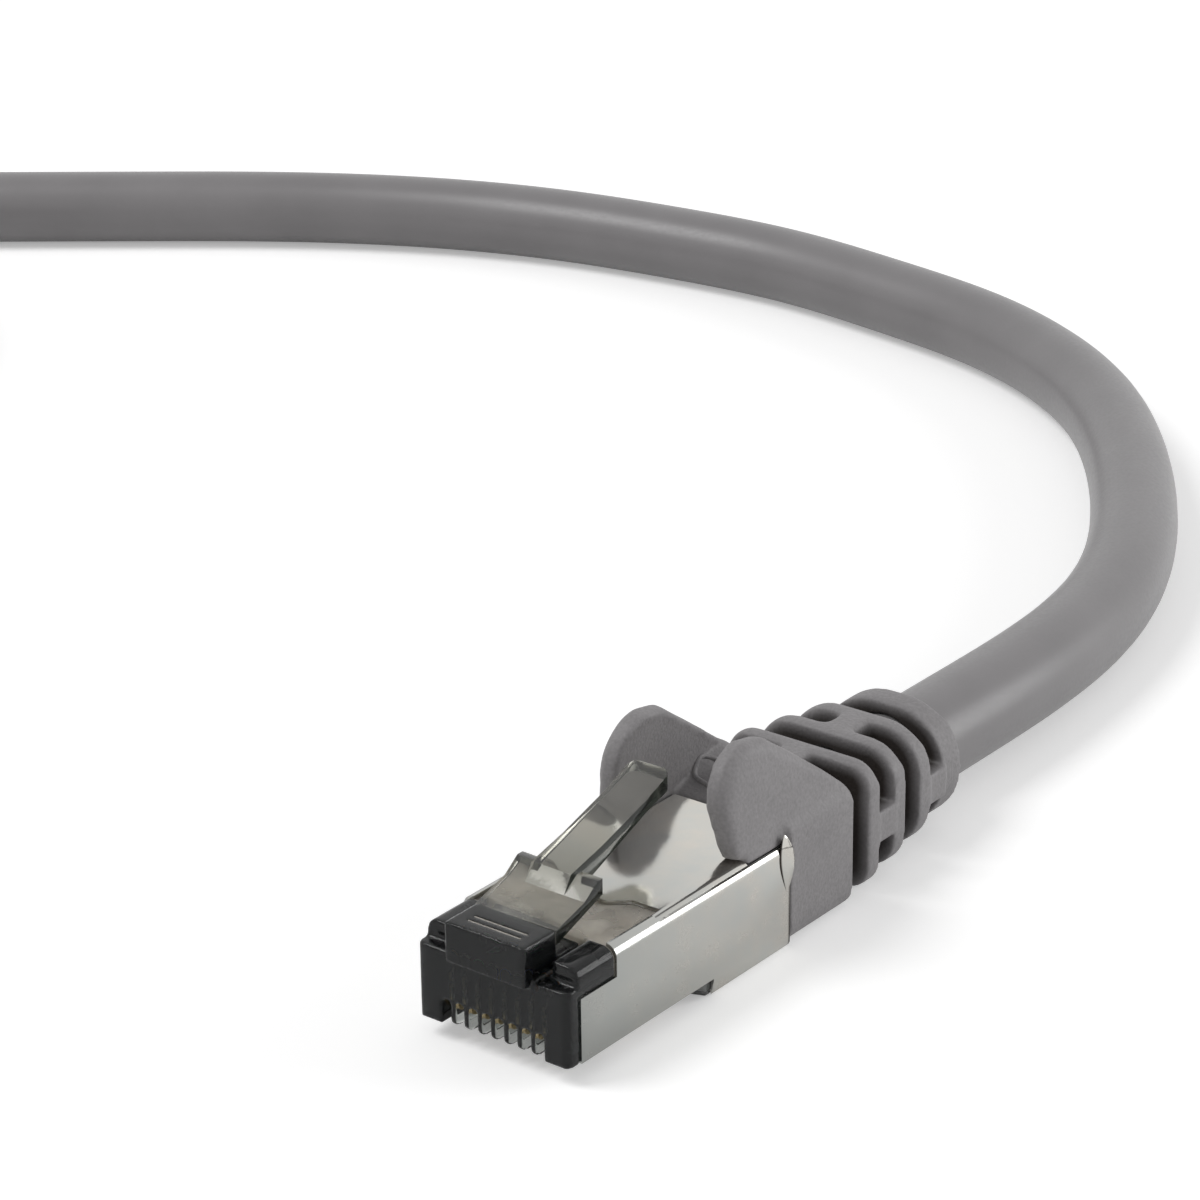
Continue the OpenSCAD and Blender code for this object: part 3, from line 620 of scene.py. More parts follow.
def bridgeWeight(point, s=bootShape):  # the hollow where the ears' inner faces run into the bridge
    x = point.x - nose
    along = ramp(x, *s["bridgeHollow"]) * ramp(s["bridgeEnd"] - x, 0, s["bridgeEndFade"])
    across = ramp(s["bridgeEdge"] - abs(point.y), 0, s["bridgeEdgeFade"])
    return along * ramp(point.z, *s["bridgeFoot"]) * across


def earInset(x, z, s):  # how far a point of the ear's side lies inside its outline
    centreX, centreZ = s["earCentre"]
    (x0, z0), (x1, z1) = s["earSlope"]
    below = ((x1 - x0) * (z0 - z) - (x0 - x) * (z1 - z0)) / math.hypot(x1 - x0, z1 - z0)
    if z < centreZ:
        front = x - s["earFront"]
    elif x < centreX:
        front = s["earRadius"] - math.hypot(x - centreX, z - centreZ)
    else:
        front = centreZ + s["earRadius"] - z
    return max(0, min(front, below))


def roundEars(mesh, s):  # thins the ears towards their outline, as a half round, and fills out their backs
    radius, half = s["earRound"], s["earThick"] / 2
    (centreX, centreZ), back, base = s["earCentre"], s["earSlope"][1][0], s["earBase"]
    for vertex in mesh.vertices:
        x, y, z = vertex.co.x - nose, vertex.co.y, vertex.co.z
        fade = ramp(z, base, base + s["earBaseFade"]) * ramp(back - x, 0, s["earBackFade"])
        off = abs(y) - (s["earSide"] - half - (z - base) * math.tan(math.radians(s["earLean"])))
        if fade == 0 or abs(off) > half + s["earSkin"]:
            continue
        inset = min(radius, earInset(x, z, s))
        drop = radius - math.sqrt(radius ** 2 - (radius - inset) ** 2)
        vertex.co.y -= math.copysign(off * drop / half * fade, y)
        vertex.co.x -= s["earReach"] * fade * ramp(centreX + s["earReachFade"] - x, 0, s["earReachFade"])
        fromX, fromZ = x - centreX, z - centreZ
        turn = ramp(math.degrees(math.atan2(fromZ, fromX)) % 360, *s["earPushTurn"])
        push = s["earPush"] * math.sin(math.pi * turn) * fade / s["earRadius"]
        vertex.co.x += fromX * push
        vertex.co.z += fromZ * push


def insideDepth(y, z, width, height, corner):  # how far inside a rounded section that stands on the floor
    across = abs(y) - width / 2 + corner
    above = abs(z - height / 2) - height / 2 + corner
    return corner - min(max(across, above), 0) - math.hypot(max(across, 0), max(above, 0))


# painted shade in the gaps between the ribs: none outside them, growing deeper inside the ribs' outer form
def gapShadeDepth(point, s):
    x = point.x - nose
    gap = min(abs(x - s["gapFrom"] - s["gap"] / 2 - k * s["gapPitch"]) for k in range(s["gaps"]))
    within = ramp(s["gap"] / 2 - gap, *s["gapLip"])
    if within == 0:
        return 0
    along = ramp(x, s["gapFrom"], s["ribsTo"])
    sizes = [first + (last - first) * along for first, last in s["section"]]
    return within * ramp(insideDepth(point.y, point.z, *sizes), s["skin"], s["deep"])


def addPrism(work, ends, profiles):  # a solid between two outlines in X from the nose face and Z, one at each Y
    rings = [[work.verts.new((x + nose, y, z)) for x, z in profile] for y, profile in zip(ends, profiles)]
    count = len(rings[0])
    for k in range(count):
        work.faces.new((rings[0][k], rings[0][(k + 1) % count], rings[1][(k + 1) % count], rings[1][k]))
    for ring in rings:
        work.faces.new(ring)


def bridgeTop(x, s):
    return float(np.interp(x, *zip(*s["bridge"][1:-1])))


def addBridge(mesh, s):  # the soft slope between the ears, over the inner mould, and the fillets at its sides
    side, low, high = s["bridgeSide"], s["filletFrom"], s["filletTo"]
    places = (low, (low + high) / 2, high)
    floors = [(x, bridgeTop(x, s) - s["bridgeSink"]) for x in places]
    inner = floors + [(x, bridgeTop(x, s)) for x in reversed(places)]
    outer = floors + [(x, bridgeTop(x, s) + rise) for x, rise in zip(reversed(places), s["filletRises"])]
    with edited(mesh) as work:
        addPrism(work, (-side, side), (s["bridge"], s["bridge"]))
        for sign in (-1, 1):
            addPrism(work, (sign * s["filletSide"], sign * side), (inner, outer))
        faceOut(work)
    return mesh


def fairSides(mesh, s):  # lowers the slope's rear end and lets the ears' outer faces run on into the block
    (x0, z0), (x1, z1) = s["earSlope"]
    half, corner = s["section"][0][0] / 2, s["cornerRound"]
    foot, top, topSide = s["fairFoot"], s["fairTop"], s["fairSide"]
    facing = [vertex.normal.y for vertex in mesh.vertices]
    for vertex, turned in zip(mesh.vertices, facing):
        x, y, z = vertex.co.x - nose, abs(vertex.co.y), vertex.co.z
        back = ramp(x, x0 + s["slopeFrom"], x1 - s["slopeBy"])
        if back > 0 and x < x1 + s["slopePast"] and y > s["slopeSide"][0] and z > s["slopeFoot"]:
            over = min(max(0, y - half + corner), corner * s["cornerMost"])
            cap = z0 + (z1 - z0) * (x - x0) / (x1 - x0) - s["slopeDrop"] * back * ramp(y, *s["slopeSide"])
            cap -= (corner - math.sqrt(corner ** 2 - over ** 2)) * back
            if z > cap:
                vertex.co.z = z = cap
        outward = turned * math.copysign(1, vertex.co.y)
        if foot < z < top and outward > s["fairFacing"] and y > s["fairInner"]:
            fair = half + (topSide - half) * (z - foot) / (top - foot)
            blend = ramp(x, s["fairFrom"], s["fairFrom"] + s["fairFade"]) * ramp(x1 - x, 0, s["fairEndFade"])
            vertex.co.y = math.copysign(y + max(0, fair - y) * blend, vertex.co.y)


bootMesh = remeshed("bootShape", addBridge(mergedCopy("bootShape", "boot"), bootShape), bootShape["voxel"])
roundEars(bootMesh, bootShape)
fairSides(bootMesh, bootShape)
bootMesh = relaxed("bootShape", bootMesh, bootShape["passes"])
bootMesh = relaxed("bootShape", bootMesh, bootShape["earPasses"], earWeight)
bootMesh = relaxed("bootShape", bootMesh, bootShape["bridgePasses"], bridgeWeight)
# painted shade in the rib gaps, stored on the boot's points
gapShadeAmount = bootMesh.attributes.new("gapShadeAmount", "FLOAT", "POINT")
gapShadeAmount.data.foreach_set("value", [gapShadeDepth(v.co, bootShape) for v in bootMesh.vertices])
farBoot = addPair("mouldedBoot", bootMesh, "boot_plastic", bootPlastic, ["boot"], ["far_boot"])
print("boots moulded,", len(bootMesh.polygons), "faces each")

# Low oval rim across the bridge, laid on the boot from a point between the ears
rimShape = {
    "centre": 0.0258, "along": 0.0014, "across": 0.0046, "from": 0.0125, "wire": 0.00018, "around": 120,
    "sides": 12, "evenOver": 4,
}


def ovalRim(name, ground, s):
    tree = BVHTree.FromPolygons([v.co for v in ground.vertices], [p.vertices[:] for p in ground.polygons])
    above = Vector((nose + s["centre"], 0, s["from"]))
    line, out = [], []
    for i in range(s["around"]):
        a = 2 * math.pi * i / s["around"]
        x, y = s["centre"] + s["along"] * math.cos(a), s["across"] * math.sin(a)
        place, normal = tree.ray_cast(above, Vector((nose + x, y, bridgeTop(x, bootShape))) - above)[:2]
        line.append(place)
        out.append(normal)
    points, count, over = [], s["around"], range(-s["evenOver"], s["evenOver"] + 1)
    for i in range(count):
        run = (line[(i + 1) % count] - line[i - 1]).normalized()
        up = sum((out[(i + k) % count] for k in over), Vector()).normalized()
        across = run.cross(up).normalized()
        for k in range(s["sides"]):
            b = 2 * math.pi * k / s["sides"]
            points.append(line[i] + s["wire"] * (up * math.sin(b) + across * math.cos(b)))
    mesh = bpy.data.meshes.new(name)
    mesh.from_pydata(points, [], tubeFaces(count, s["sides"], closed=True))
    with edited(mesh) as work:
        faceOut(work)
    shadeSmooth(mesh, 60)
    return mesh


farRim = addPair("bridgeRim", ovalRim("bridgeRim", bootMesh, rimShape), "boot_plastic", bootPlastic)
print("rims laid")

# Housing: one clear moulding with round edges on the keel and the shoulder blocks, in places from the nose face
housingShape = {
    "voxel": 0.00011, "passes": 4, "split": 0.00445,
    "edgePasses": 10, "edgeFloor": 0.0046, "edgeBack": 0.0045, "edgeFade": 0.0004,
    "pocket": ((0.0018, -0.00305, 0.0075), (0.0025, 0.00305, 0.0086)),  # filled, as the latch is moulded on
    "grooves": [((x, -0.00205, 0.0084), (x + 0.0002, 0.00205, 0.009)) for x in (0.00035, 0.00095)],
    # light bars that paint highlights along the keel's grooves
    "highlightBars": [((x + 0.00002, -0.00203, 0.00835), (x + 0.00018, 0.00203, 0.00854)) for x in (0.00035, 0.00095)],
    "teeth": [((-0.001, -0.00375, 0), (0.0044, 0.00375, 0.0028))],
}
heelShape = {
    "outline": ((0.01175, 0.00118), (0.0136, 0.0002), (0.01415, 0.0002), (0.01415, 0.00118)), "side": 0.00565,
    "bevel": 0.00008, "segments": 2, "angle": 20,
}


def keelWeight(point, s=housingShape):
    low = ramp(point.z, s["edgeFloor"], s["edgeFloor"] + s["edgeFade"])
    return low * ramp(nose + s["edgeBack"] - point.x, 0, s["edgeFade"])


def fromNose(boxes):  # boxes measured from the nose face, in the shared frame
    return [[(x + nose, y, z) for x, y, z in box] for box in boxes]


def housingMesh(s):
    mesh = mergedCopy("housingShape", "plug_housing")
    with edited(mesh) as work:
        addBox(work, *fromNose([s["pocket"]])[0])
        faceOut(work)
    mesh = remeshed("housingShape", mesh, s["voxel"])
    mesh = relaxed("housingShape", mesh, s["passes"])
    mesh = relaxed("housingShape", mesh, s["edgePasses"], keelWeight)
    return carved("housingShape", mesh, fromNose(s["grooves"]))


def halfMesh(mesh, place, **cleared):  # what a cut across the plug leaves, closed again
    half = mesh.copy()
    with edited(half) as work:
        closeRim(work, cutAway(work, (nose + place, 0, 0), (1, 0, 0), **cleared))
    shadeSmooth(half, 50)
    return half


def withHighlightBars(mesh, s):  # painted highlight: light bars in the keel's grooves, of the body's lighter plastic, that stand for the highlights along them
    with edited(mesh) as work:
        start = len(work.faces)
        for box in fromNose(s["highlightBars"]):
            addBox(work, *box)
        faceOut(work, start)
    return mesh


wholeHousing = housingMesh(housingShape)
teethBoxes = fromNose(housingShape["teeth"])
teethMesh = carved("smokedTeeth", wholeHousing.copy(), teethBoxes, "INTERSECT")
shadeSmooth(teethMesh, 50)
wholeHousing = carved("housingShape", wholeHousing, teethBoxes)
# the nose keeps the darker plastic, the body behind the split takes the lighter copy with painted light
noseMesh = halfMesh(wholeHousing, housingShape["split"], clear_outer=True)
bodyMesh = withHighlightBars(halfMesh(wholeHousing, housingShape["split"], clear_inner=True), housingShape)
farHousing = [
    addPair("smoked" + part, mesh, "smoked_plastic", plastic, ["plug_housing"], ["far_housing"])
    for part, mesh, plastic in (
        ("Teeth", teethMesh, teethPlastic), ("Nose", noseMesh, nosePlastic), ("Body", bodyMesh, paintedLightBodyPlastic),
    )
]
heelMesh = bpy.data.meshes.new("housingHeel")
with edited(heelMesh) as work:
    addPrism(work, (-heelShape["side"], heelShape["side"]), (heelShape["outline"], heelShape["outline"]))
    faceOut(work)
crispBevel(heelMesh, heelShape)
farHousing.append(addPair("housingHeel", heelMesh, "smoked_plastic", nosePlastic))
housingFaces = sum(len(mesh.polygons) for mesh in (teethMesh, noseMesh, bodyMesh, heelMesh))
print("housings moulded,", housingFaces, "faces each")

# Latch: plate, shoulders and lever, cut off where it grows out of the keel
# the last pair is how far a face must look to a side or to the rear for the latch's painted side shade to start
# and to be full
latchShape = {"root": 0.00242, "bevel": 0.00011, "segments": 3, "angle": 18, "side": (0.3, 0.9)}


def latchMesh(s):
    mesh = mergedCopy("latchShape", "latch")
    with edited(mesh) as work:
        bmesh.ops.dissolve_limit(work, angle_limit=math.radians(1), verts=work.verts, edges=work.edges)
        rim = cutAway(work, (nose + s["root"], 0, 0), (1, 0, 0), clear_inner=True)
        bmesh.ops.contextual_create(work, geom=rim)
        faceOut(work)
    crispBevel(mesh, s)
    # painted shade mask on the latch's side and rear faces
    side = mesh.attributes.new("side", "FLOAT", "FACE")  # how far each face looks to a side or to the rear
    side.data.foreach_set("value", [ramp(max(abs(f.normal.y), f.normal.x), *s["side"]) for f in mesh.polygons])
    return mesh


nearLatch = latchMesh(latchShape)
farLatch = addPair("clearLatch", nearLatch, "latch_plastic", latchPlastic, ["latch"], ["far_latch"], "latch")
print("latches moulded,", len(nearLatch.polygons), "faces each")

# Shield: folded sheet with burnished bends, a tongue that the boot holds down and pleats at the rear corners
shieldShape = {
    "bevel": 0.00005, "segments": 2, "angle": 28, "sideFacing": 0.9,
    "tongueFrom": 0.022, "tongueSide": 0.004, "tongueLow": 0.0071, "tongueReach": 0.00095,
    "pleatAt": 0.02172, "pleatSide": 0.00584, "pleatLow": 0.0039, "pleatHigh": 0.0081, "pleatWidth": 0.00064,
    "pleatStand": 0.0005, "pleatRings": 21, "pleatLean": -0.0003, "pleatTips": (0.2, 0.6),
    "pleatForm": (1.3, 0.75),
    # the last two set where the painted shade line along the rear edge starts and how far in from the side it
    # reaches
    "edgeFrom": 0.02216, "edgeFade": 0.0002, "near": 1e-6, "shadeLineIn": 0.0001,
    "pleatSection": (  # across, height and painted shade
        (-1, 0.06, 1), (-0.9, 0.14, 1), (-0.78, 0.24, 0), (-0.1, 0.55, 0), (0.35, 1, 0), (0.7, 0.8, 0),
        (0.84, 0.5, 0.2), (0.88, 0.45, 1), (1, 0.07, 1), (0, -0.3, 1),
    ),
}


def addPleat(work, side, shadeLine, s):  # one slim fold that stands out of the side and ends in a point, with painted shade along its outline
    rings = []
    (tip, tips), (skew, full) = s["pleatTips"], s["pleatForm"]
    for k in range(s["pleatRings"]):
        t = (k + tip) / (s["pleatRings"] - tips)
        swell = math.sin(math.pi * t ** skew) ** full
        wide, out = s["pleatWidth"] * swell, s["pleatStand"] * swell
        z = s["pleatLow"] + (s["pleatHigh"] - s["pleatLow"]) * t
        lean = s["pleatLean"] * (t - 0.5)
        ring = []
        for across, high, dark in s["pleatSection"]:
            place = nose + s["pleatAt"] + lean + across * wide, side * (s["pleatSide"] + high * out), z
            ring.append(work.verts.new(place))
            ring[-1][shadeLine] = dark
        rings.append(ring)
    for low, high in zip(rings, rings[1:]):
        for k in range(len(low)):
            n = (k + 1) % len(low)
            work.faces.new((low[k], low[n], high[n], high[k]))
    work.faces.new(rings[0])
    work.faces.new(rings[-1])


def shieldMesh(s):
    mesh = mergedCopy("foldedShield", "shield_can")
    crispBevel(mesh, s)
    with edited(mesh) as work:
        shadeLine = work.verts.layers.float.new("shadeLine")
        for x in (s["edgeFrom"], s["edgeFrom"] - s["edgeFade"]):  # cuts that keep the painted shade line narrow at the rear edge
            sides = [face for face in work.faces if abs(face.normal.y) > s["sideFacing"]]
            around = dict.fromkeys(part for face in sides for part in (*face.verts, *face.edges))
            bmesh.ops.bisect_plane(work, geom=[*sides, *around], plane_co=(nose + x, 0, 0), plane_no=(1, 0, 0))
        # the rear edge's points get the painted shade line, and the tongue's points move back
        for vertex in work.verts:
            x, y, z = vertex.co.x - nose, vertex.co.y, vertex.co.z
            if x > s["tongueFrom"] and abs(y) < s["tongueSide"] and z > s["tongueLow"]:
                vertex.co.x += s["tongueReach"]
            elif x > s["edgeFrom"] - s["near"] and abs(y) > s["pleatSide"] - s["shadeLineIn"]:
                vertex[shadeLine] = 1
        start = len(work.faces)
        for side in (-1, 1):
            addPleat(work, side, shadeLine, s)
        faceOut(work, start)
        layer = work.loops.layers.uv.new("UVMap")
        for face in work.faces:
            for loop in face.loops:
                loop[layer].uv = loop.vert.co.x - nose, loop.vert.co.y
    shadeSmooth(mesh, 35)
    return mesh


nearShield = shieldMesh(shieldShape)
farShield = addPair("foldedShield", nearShield, "nickel_plate", nickel, ["shield_can"], ["far_shield"])
print("shields folded,", len(nearShield.polygons), "faces each")


def geometryTree(name, inputs):
    tree = bpy.data.node_groups.new(name, "GeometryNodeTree")
    tree.is_modifier = True
    tree.interface.new_socket("Geometry", in_out="INPUT", socket_type="NodeSocketGeometry")
    for label, kind in inputs.items():
        tree.interface.new_socket(label, in_out="INPUT", socket_type="NodeSocket" + kind)
    tree.interface.new_socket("Geometry", in_out="OUTPUT", socket_type="NodeSocketGeometry")
    return tree, Graph(tree)


def finishTree(graph, geometry):  # plain mesh out, in one material
    real = graph.node("GeometryNodeRealizeInstances", {}, {0: geometry})
    finish = graph.node("NodeGroupInput", output="Finish")
    dressed = graph.node("GeometryNodeSetMaterial", {}, {"Geometry": real, "Material": finish})
    graph.finish("NodeGroupOutput", {0: dressed})


def grown(name, mesh, tree, values):  # what a tree makes of a mesh, as a plain mesh
    helper = helperObject(name, mesh)
    modifier = helper.modifiers.new("nodes", "NODES")
    modifier.node_group = tree
    for item in tree.interface.items_tree:
        if item.in_out == "INPUT" and item.name in values:
            modifier[item.identifier] = values[item.name]
    return applied(helper)


# Contacts: one stamped blade, repeated across the plug
contactSettings = {"ways": 8, "pitch": 0.001016, "bevel": 0.00004, "segments": 2, "angle": 30}


def rowTree():
    tree, graph = geometryTree("bladeRow", {"Ways": "Int", "Pitch": "Float", "Finish": "Material"})
    blade, ways, pitch = (graph.node("NodeGroupInput", output=label) for label in ("Geometry", "Ways", "Pitch"))
    step = graph.node("ShaderNodeCombineXYZ", {}, {1: pitch})
    line = graph.node("GeometryNodeMeshLine", {"mode": "OFFSET"}, {"Count": ways, "Offset": step})
    finishTree(graph, graph.node("GeometryNodeInstanceOnPoints", {}, {"Points": line, "Instance": blade}))
    return tree


firstBlade = mergedCopy("blade", "contact_1")
crispBevel(firstBlade, contactSettings)
contactRow = grown("contactRow", firstBlade, rowTree(), {
    "Ways": contactSettings["ways"], "Pitch": contactSettings["pitch"], "Finish": gold,
})
contactNodes = [f"contact_{way}" for way in range(1, contactSettings["ways"] + 1)]
farContacts = addPair("contactRow", contactRow, "gold_plate", gold, contactNodes, ["far_contacts"])
print("contacts stamped,", len(contactRow.polygons), "faces a row")

# Wires: eight insulated conductors that fan out from the cord's four pairs, four of them striped
wireSettings = {
    "diameter": 0.0009, "sides": 20, "step": 0.0002, "grain": 5000.0, "deep": 0.9, "rough": (0.34, 0.46),
    "stripe": (0.68, 0.78), "stripeTurn": 900.0,
    "rowHeight": 0.0055, "axis": 0.004, "start": 0.0016, "fanFrom": 0.0091, "fanTo": 0.0144, "fanSteps": 4,
    "quick": 0.7, "end": 0.024, "pairRadius": 0.00165, "pairAngle": 19,
    "pairs": (180, 180, 270, 90, 90, 270, 0, 0),
    "colours": (  # insulation, stripe and slot, in the order of the contacts
        ((0.80, 0.76, 0.70), (0.75, 0.25, 0.03), "wire_pale_orange"), ((0.75, 0.25, 0.03), None, "wire_orange"),
        ((0.78, 0.79, 0.74), (0.03, 0.33, 0.09), "wire_pale_green"), ((0.03, 0.10, 0.45), None, "wire_blue"),
        ((0.76, 0.78, 0.80), (0.03, 0.10, 0.45), "wire_pale_blue"), ((0.03, 0.33, 0.09), None, "wire_green"),
        ((0.78, 0.75, 0.71), (0.20, 0.09, 0.04), "wire_pale_brown"), ((0.20, 0.09, 0.04), None, "wire_brown"),
    ),
}


def insulation(name, colour, stripe, s):
    made, graph = material(name)
    grain = graph.noise(graph.place(), s["grain"])
    base = graph.mixColour(grain, rgb(colour, s["deep"]), rgb(colour))
    if stripe:
        turn = graph.attribute("along") * s["stripeTurn"]
        facing = graph.attribute("ringX") * graph.maths("COSINE", turn)
        facing = facing + graph.attribute("ringY") * graph.maths("SINE", turn)
        base = graph.mixColour(graph.spread(facing, *s["stripe"]), base, rgb(stripe))
    graph.surface({
        "Base Color": base,
        "Roughness": graph.vary(grain, *s["rough"]),
        "Normal": graph.bump(grain, strength=0.1, distance=0.00002),
    })
    return made


def pairPlace(i, s):
    angle = math.radians(s["pairs"][i] + s["pairAngle"] * (-1 if i % 2 == 0 else 1))
    return s["pairRadius"] * math.cos(angle), s["axis"] + s["pairRadius"] * math.sin(angle)


def fanPlace(i, t, s):  # the outer pairs turn a quarter while they run in, the others run straight across
    pitch, row, axis, radius = contactSettings["pitch"], s["rowHeight"], s["axis"], s["pairRadius"]
    if 1 < i < 6:
        quick = t ** s["quick"]
        y, z = pairPlace(i, s)
        return (i - 3.5) * pitch * (1 - quick) + y * quick, row * (1 - quick) + z * quick
    side = -1 if i < 4 else 1
    lean, turn = math.radians(s["pairAngle"]), math.pi / 2 * t
    half = (pitch / 2 * (1 - t) + radius * math.sin(lean) * t) * (1 if i in (0, 7) else -1)
    return (
        side * 3 * pitch * (1 - t) + side * radius * math.cos(lean) * t + half * side * math.cos(turn),
        row * (1 - t) + axis * t + half * math.sin(turn),
    )


def wireRoute(i, s):
    points = [(s["start"], (i - 3.5) * contactSettings["pitch"], s["rowHeight"])]
    for k in range(s["fanSteps"] + 1):
        t = k / s["fanSteps"]
        points.append((s["fanFrom"] + (s["fanTo"] - s["fanFrom"]) * t, *fanPlace(i, t, s)))
    points.append((s["end"], *fanPlace(i, 1, s)))
    return [(x + nose, y, z) for x, y, z in points]


def wireTree():
    kinds = {"Radius": "Float", "Sides": "Int", "Step": "Float", "Finish": "Material"}
    tree, graph = geometryTree("wire", kinds)
    route, radius, sides, step = (
        graph.node("NodeGroupInput", output=label) for label in ("Geometry", "Radius", "Sides", "Step")
    )
    curve = graph.node("GeometryNodeMeshToCurve", {}, {0: route})
    smooth = graph.node("GeometryNodeCurveSplineType", {"spline_type": "CATMULL_ROM"}, {0: curve})
    even = graph.node("GeometryNodeResampleCurve", {"mode": "LENGTH"}, {"Curve": smooth, "Length": step})
    run = graph.node("GeometryNodeSplineParameter", output="Length")
    marked = graph.stored(even, "along", run)
    circle = {"Resolution": sides, "Radius": radius}
    ring = graph.node("GeometryNodeCurvePrimitiveCircle", {"mode": "RADIUS"}, circle)
    place = graph.node("GeometryNodeInputPosition")
    for index, label in enumerate(("ringX", "ringY")):
        ring = graph.stored(ring, label, graph.axis(place, index) / radius)
    swept = {"Curve": marked, "Profile Curve": ring, "Fill Caps": True}
    finishTree(graph, graph.node("GeometryNodeCurveToMesh", {}, swept))
    return tree


wireNodes = wireTree()
for way, (colour, stripe, slot) in enumerate(wireSettings["colours"]):
    route = wireRoute(way, wireSettings)
    line = bpy.data.meshes.new("route")
    line.from_pydata(route, [(k, k + 1) for k in range(len(route) - 1)], [])
    finish = insulation(slot, colour, stripe, wireSettings)
    wire = grown("wire", line, wireNodes, {
        "Radius": wireSettings["diameter"] / 2, "Sides": wireSettings["sides"], "Step": wireSettings["step"],
        "Finish": finish,
    })
    shadeSmooth(wire, 40)
    name = f"insulatedWire{way + 1}"
    addPair(name, wire, slot, finish, [f"wire_{way + 1}"], ["far_wires"])
print("wires drawn,", len(wire.polygons), "faces each")

# Strap: hook-and-loop band that goes once round the coil and laps over itself
strapSettings = {
    "centre": (0.0162, 0.11507), "halfWidth": 0.00458, "low": 0.0003, "high": 0.0154, "corner": 0.0027,
    "width": 0.01, "thick": 0.00056, "lap": 0.013, "lift": 0.00062, "liftOver": 0.004, "step": 0.0003,
    "startAt": 0.0135, "edge": 0.6, "edgeIn": 0.3, "edgeHigh": 0.7,
}
clothSettings = {
    "colour": (0.03, 0.03, 0.032), "dark": 0.45, "light": 1.7, "thread": 0.0007, "fuzz": 6000.0, "bump": 0.8,
    "rough": (0.75, 0.95), "sheen": 0.3,
}


def loopPoint(s, settings):  # a place s metres round the rounded oblong, and its outward direction
    half, corner = settings["halfWidth"], settings["corner"]
    tall = settings["high"] - settings["low"]
    flat, upright, arc = 2 * (half - corner), tall - 2 * corner, math.pi / 2 * corner
    s = s % (2 * (flat + upright) + 4 * arc)
    left, right, low, high = corner - half, half - corner, settings["low"] + corner, settings["high"] - corner
    for u, z, start, run in (
        (right, low, 0, flat), (right, high, 90, upright), (left, high, 180, flat), (left, low, 270, upright),
    ):
        back, s = max(0, run - s), max(0, s - run)
        if s < arc:
            angle = math.radians(start - 90) + s / corner
            direction = Vector((math.cos(angle), math.sin(angle)))
            ahead = Vector((-direction.y, direction.x))
            return Vector((u, z)) + direction * corner - ahead * back, direction
        s -= arc
    return loopPoint(0, settings)  # where rounding carries s past the last corner


def strapMesh(settings):
    tall = settings["high"] - settings["low"]
    once = 4 * settings["halfWidth"] + 2 * tall - (8 - 2 * math.pi) * settings["corner"]
    rings = int((once + settings["lap"]) / settings["step"]) + 1
    half, thick = settings["width"] / 2, settings["thick"] / 2
    edge = thick * settings["edge"]
    slant = half - edge * settings["edgeIn"], thick * settings["edgeHigh"]
    upper = [(-slant[0], slant[1]), (edge - half, thick), (0, thick), (half - edge, thick), slant]
    profile = [(-half, 0), *upper, (half, 0), *((across, -up) for across, up in reversed(upper))]
    points, texture = [], []
    for k in range(rings):
        s = k * settings["step"]
        place, outward = loopPoint(settings["startAt"] + s, settings)
        lift = settings["lift"] * ramp(s - once, -settings["liftOver"], 0)
        for across, up in profile:
            flat = place + outward * (up + lift)
            points.append((settings["centre"][0] + across, settings["centre"][1] - flat.x, flat.y))
            texture.append((s, across))
    mesh = bpy.data.meshes.new("coilStrap")
    mesh.from_pydata(points, [], tubeFaces(rings, len(profile)))
    layer = mesh.uv_layers.new(name="UVMap").data
    for loop in mesh.loops:
        layer[loop.index].uv = texture[loop.vertex_index]
    with edited(mesh) as work:
        faceOut(work)
    shadeSmooth(mesh, 60)
    return mesh


def wovenStrap(name, s):
    made, graph = material(name)
    cloth = graph.node("ShaderNodeUVMap")
    wave = 2 * math.pi / s["thread"]
    weft, warp = (graph.maths("SINE", graph.axis(cloth, index) * wave) for index in (0, 1))
    fuzz = graph.noise(graph.place(), s["fuzz"], detail=4.0, rough=0.7)
    height = (warp * weft * 0.5 + 0.5) * 0.6 + fuzz * 0.8
    tone = graph.spread(height, 0.3, 1.1)
    graph.surface({
        "Base Color": graph.mixColour(tone, rgb(s["colour"], s["dark"]), rgb(s["colour"], s["light"])),
        "Roughness": graph.vary(fuzz, *s["rough"]),
        "Sheen Weight": s["sheen"],
        "Normal": graph.bump(height, s["bump"], distance=0.00012),
    })
    return made


strapCloth = wovenStrap("wovenStrap", clothSettings)
strap = addPiece("coilStrap", strapMesh(strapSettings), "cable", "tie_fabric", strapCloth, "coil_tie")
print("strap wound")

# Inner mould, trimmed where the boot's bridge lies over it
mouldTop = 0.0071
mouldMesh = mergedCopy("rearMould", "rear_premould")
with edited(mouldMesh) as work:
    closeRim(work, cutAway(work, (0, 0, mouldTop), (0, 0, 1), clear_outer=True))
farMould = addPair("rearMould", mouldMesh, "inner_mould", hardMould, ["rear_premould"], ["far_premould"])

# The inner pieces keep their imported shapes
innerFinish = (
    (natural, ("load_bar", "far_load_bar", "wire_spline", "far_spline")),
    (foil, ("foil_screen", "far_foil_screen")),
    (tinned, ("drain_wire", "far_drain_wire")),
    (jacketEnd, ("jacket_end", "far_jacket_end")),
)
for finish, nodes in innerFinish:
    for materialSlot in (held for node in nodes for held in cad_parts[node].material_slots):
        materialSlot.link = "OBJECT"
        materialSlot.material = finish
print("inner pieces finished")

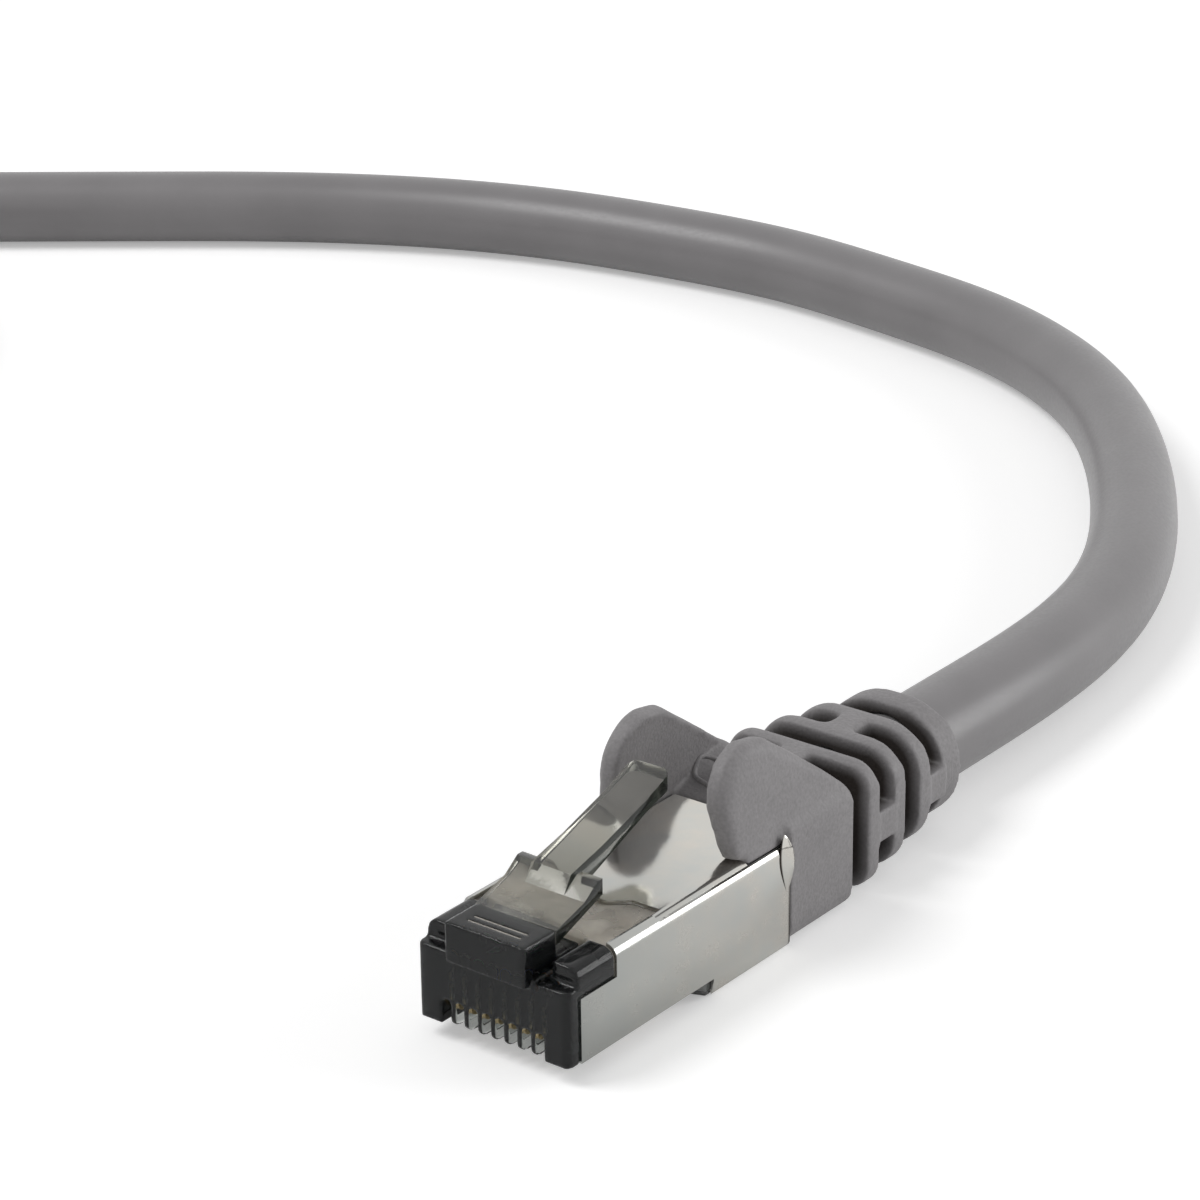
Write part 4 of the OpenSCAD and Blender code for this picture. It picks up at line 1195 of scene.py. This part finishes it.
# Studio: a bright sweep with a key light behind and a low light at the side
studioSettings = {
    "world": 0.4, "floorColour": 0.9, "floorGlow": 0.34, "mirroredGlow": 0.8, "reach": 3.0, "drop": 0.00002,
}
lightSettings = {  # place, aim, size and power
    "keyLight": ((-0.35, 0.45, 0.75), (0.03, 0.03, 0), 0.5, 3.9),
    "sideLight": ((0.40, -0.43, 0.18), (0.03, 0.01, 0), 0.4, 1.55),
}


def seenRays(graph, mirrored=1.0):  # 1 for what the camera sees, straight, in metal or through clear plastic
    camera, glossy, through = (graph.node("ShaderNodeLightPath", output=i) for i in (0, 3, 6))
    return graph.maths("MAXIMUM", graph.maths("MAXIMUM", camera, glossy * mirrored), through)


def addFloor(s):
    mesh = bpy.data.meshes.new("floor")
    reach = s["reach"]
    corners = [(-reach, -reach, 0), (reach, -reach, 0), (reach, reach, 0), (-reach, reach, 0)]
    mesh.from_pydata(corners, [], [(0, 1, 2, 3)])
    floor = bpy.data.objects.new("floor", mesh)
    floor.location.z = -s["drop"]
    collection.objects.link(floor)
    made, graph = material("floorPaper")
    diffuse = graph.node("ShaderNodeBsdfDiffuse", {}, {"Color": rgb((1, 1, 1), s["floorColour"])})
    glow = graph.node("ShaderNodeEmission", {}, {
        "Color": rgb((1, 1, 1)), "Strength": seenRays(graph, s["mirroredGlow"]) * s["floorGlow"],
    })
    paper = graph.node("ShaderNodeAddShader", {}, {0: diffuse, 1: glow})
    graph.finish("ShaderNodeOutputMaterial", {"Surface": paper})
    mesh.materials.append(made)


def addWorld(s):
    world = bpy.data.worlds.new("studio")
    bpy.context.scene.world = world
    world.use_nodes = True
    sky = Graph(world.node_tree)
    strength = s["world"] + seenRays(sky) * (1 - s["world"])
    back = sky.node("ShaderNodeBackground", {}, {"Color": rgb((1, 1, 1)), "Strength": strength})
    sky.finish("ShaderNodeOutputWorld", {"Surface": back})


def addLight(name, place, aim, size, power):
    data = bpy.data.lights.new(name, "AREA")
    data.shape = "DISK"
    data.size = size
    data.energy = power
    light = bpy.data.objects.new(name, data)
    light.location = place
    light.rotation_euler = (Vector(aim) - Vector(place)).to_track_quat("-Z", "Y").to_euler()
    collection.objects.link(light)


addFloor(studioSettings)
addWorld(studioSettings)
for name, settings in lightSettings.items():
    addLight(name, *settings)
bpy.context.scene.view_settings.view_transform = "Standard"
print("studio lit")
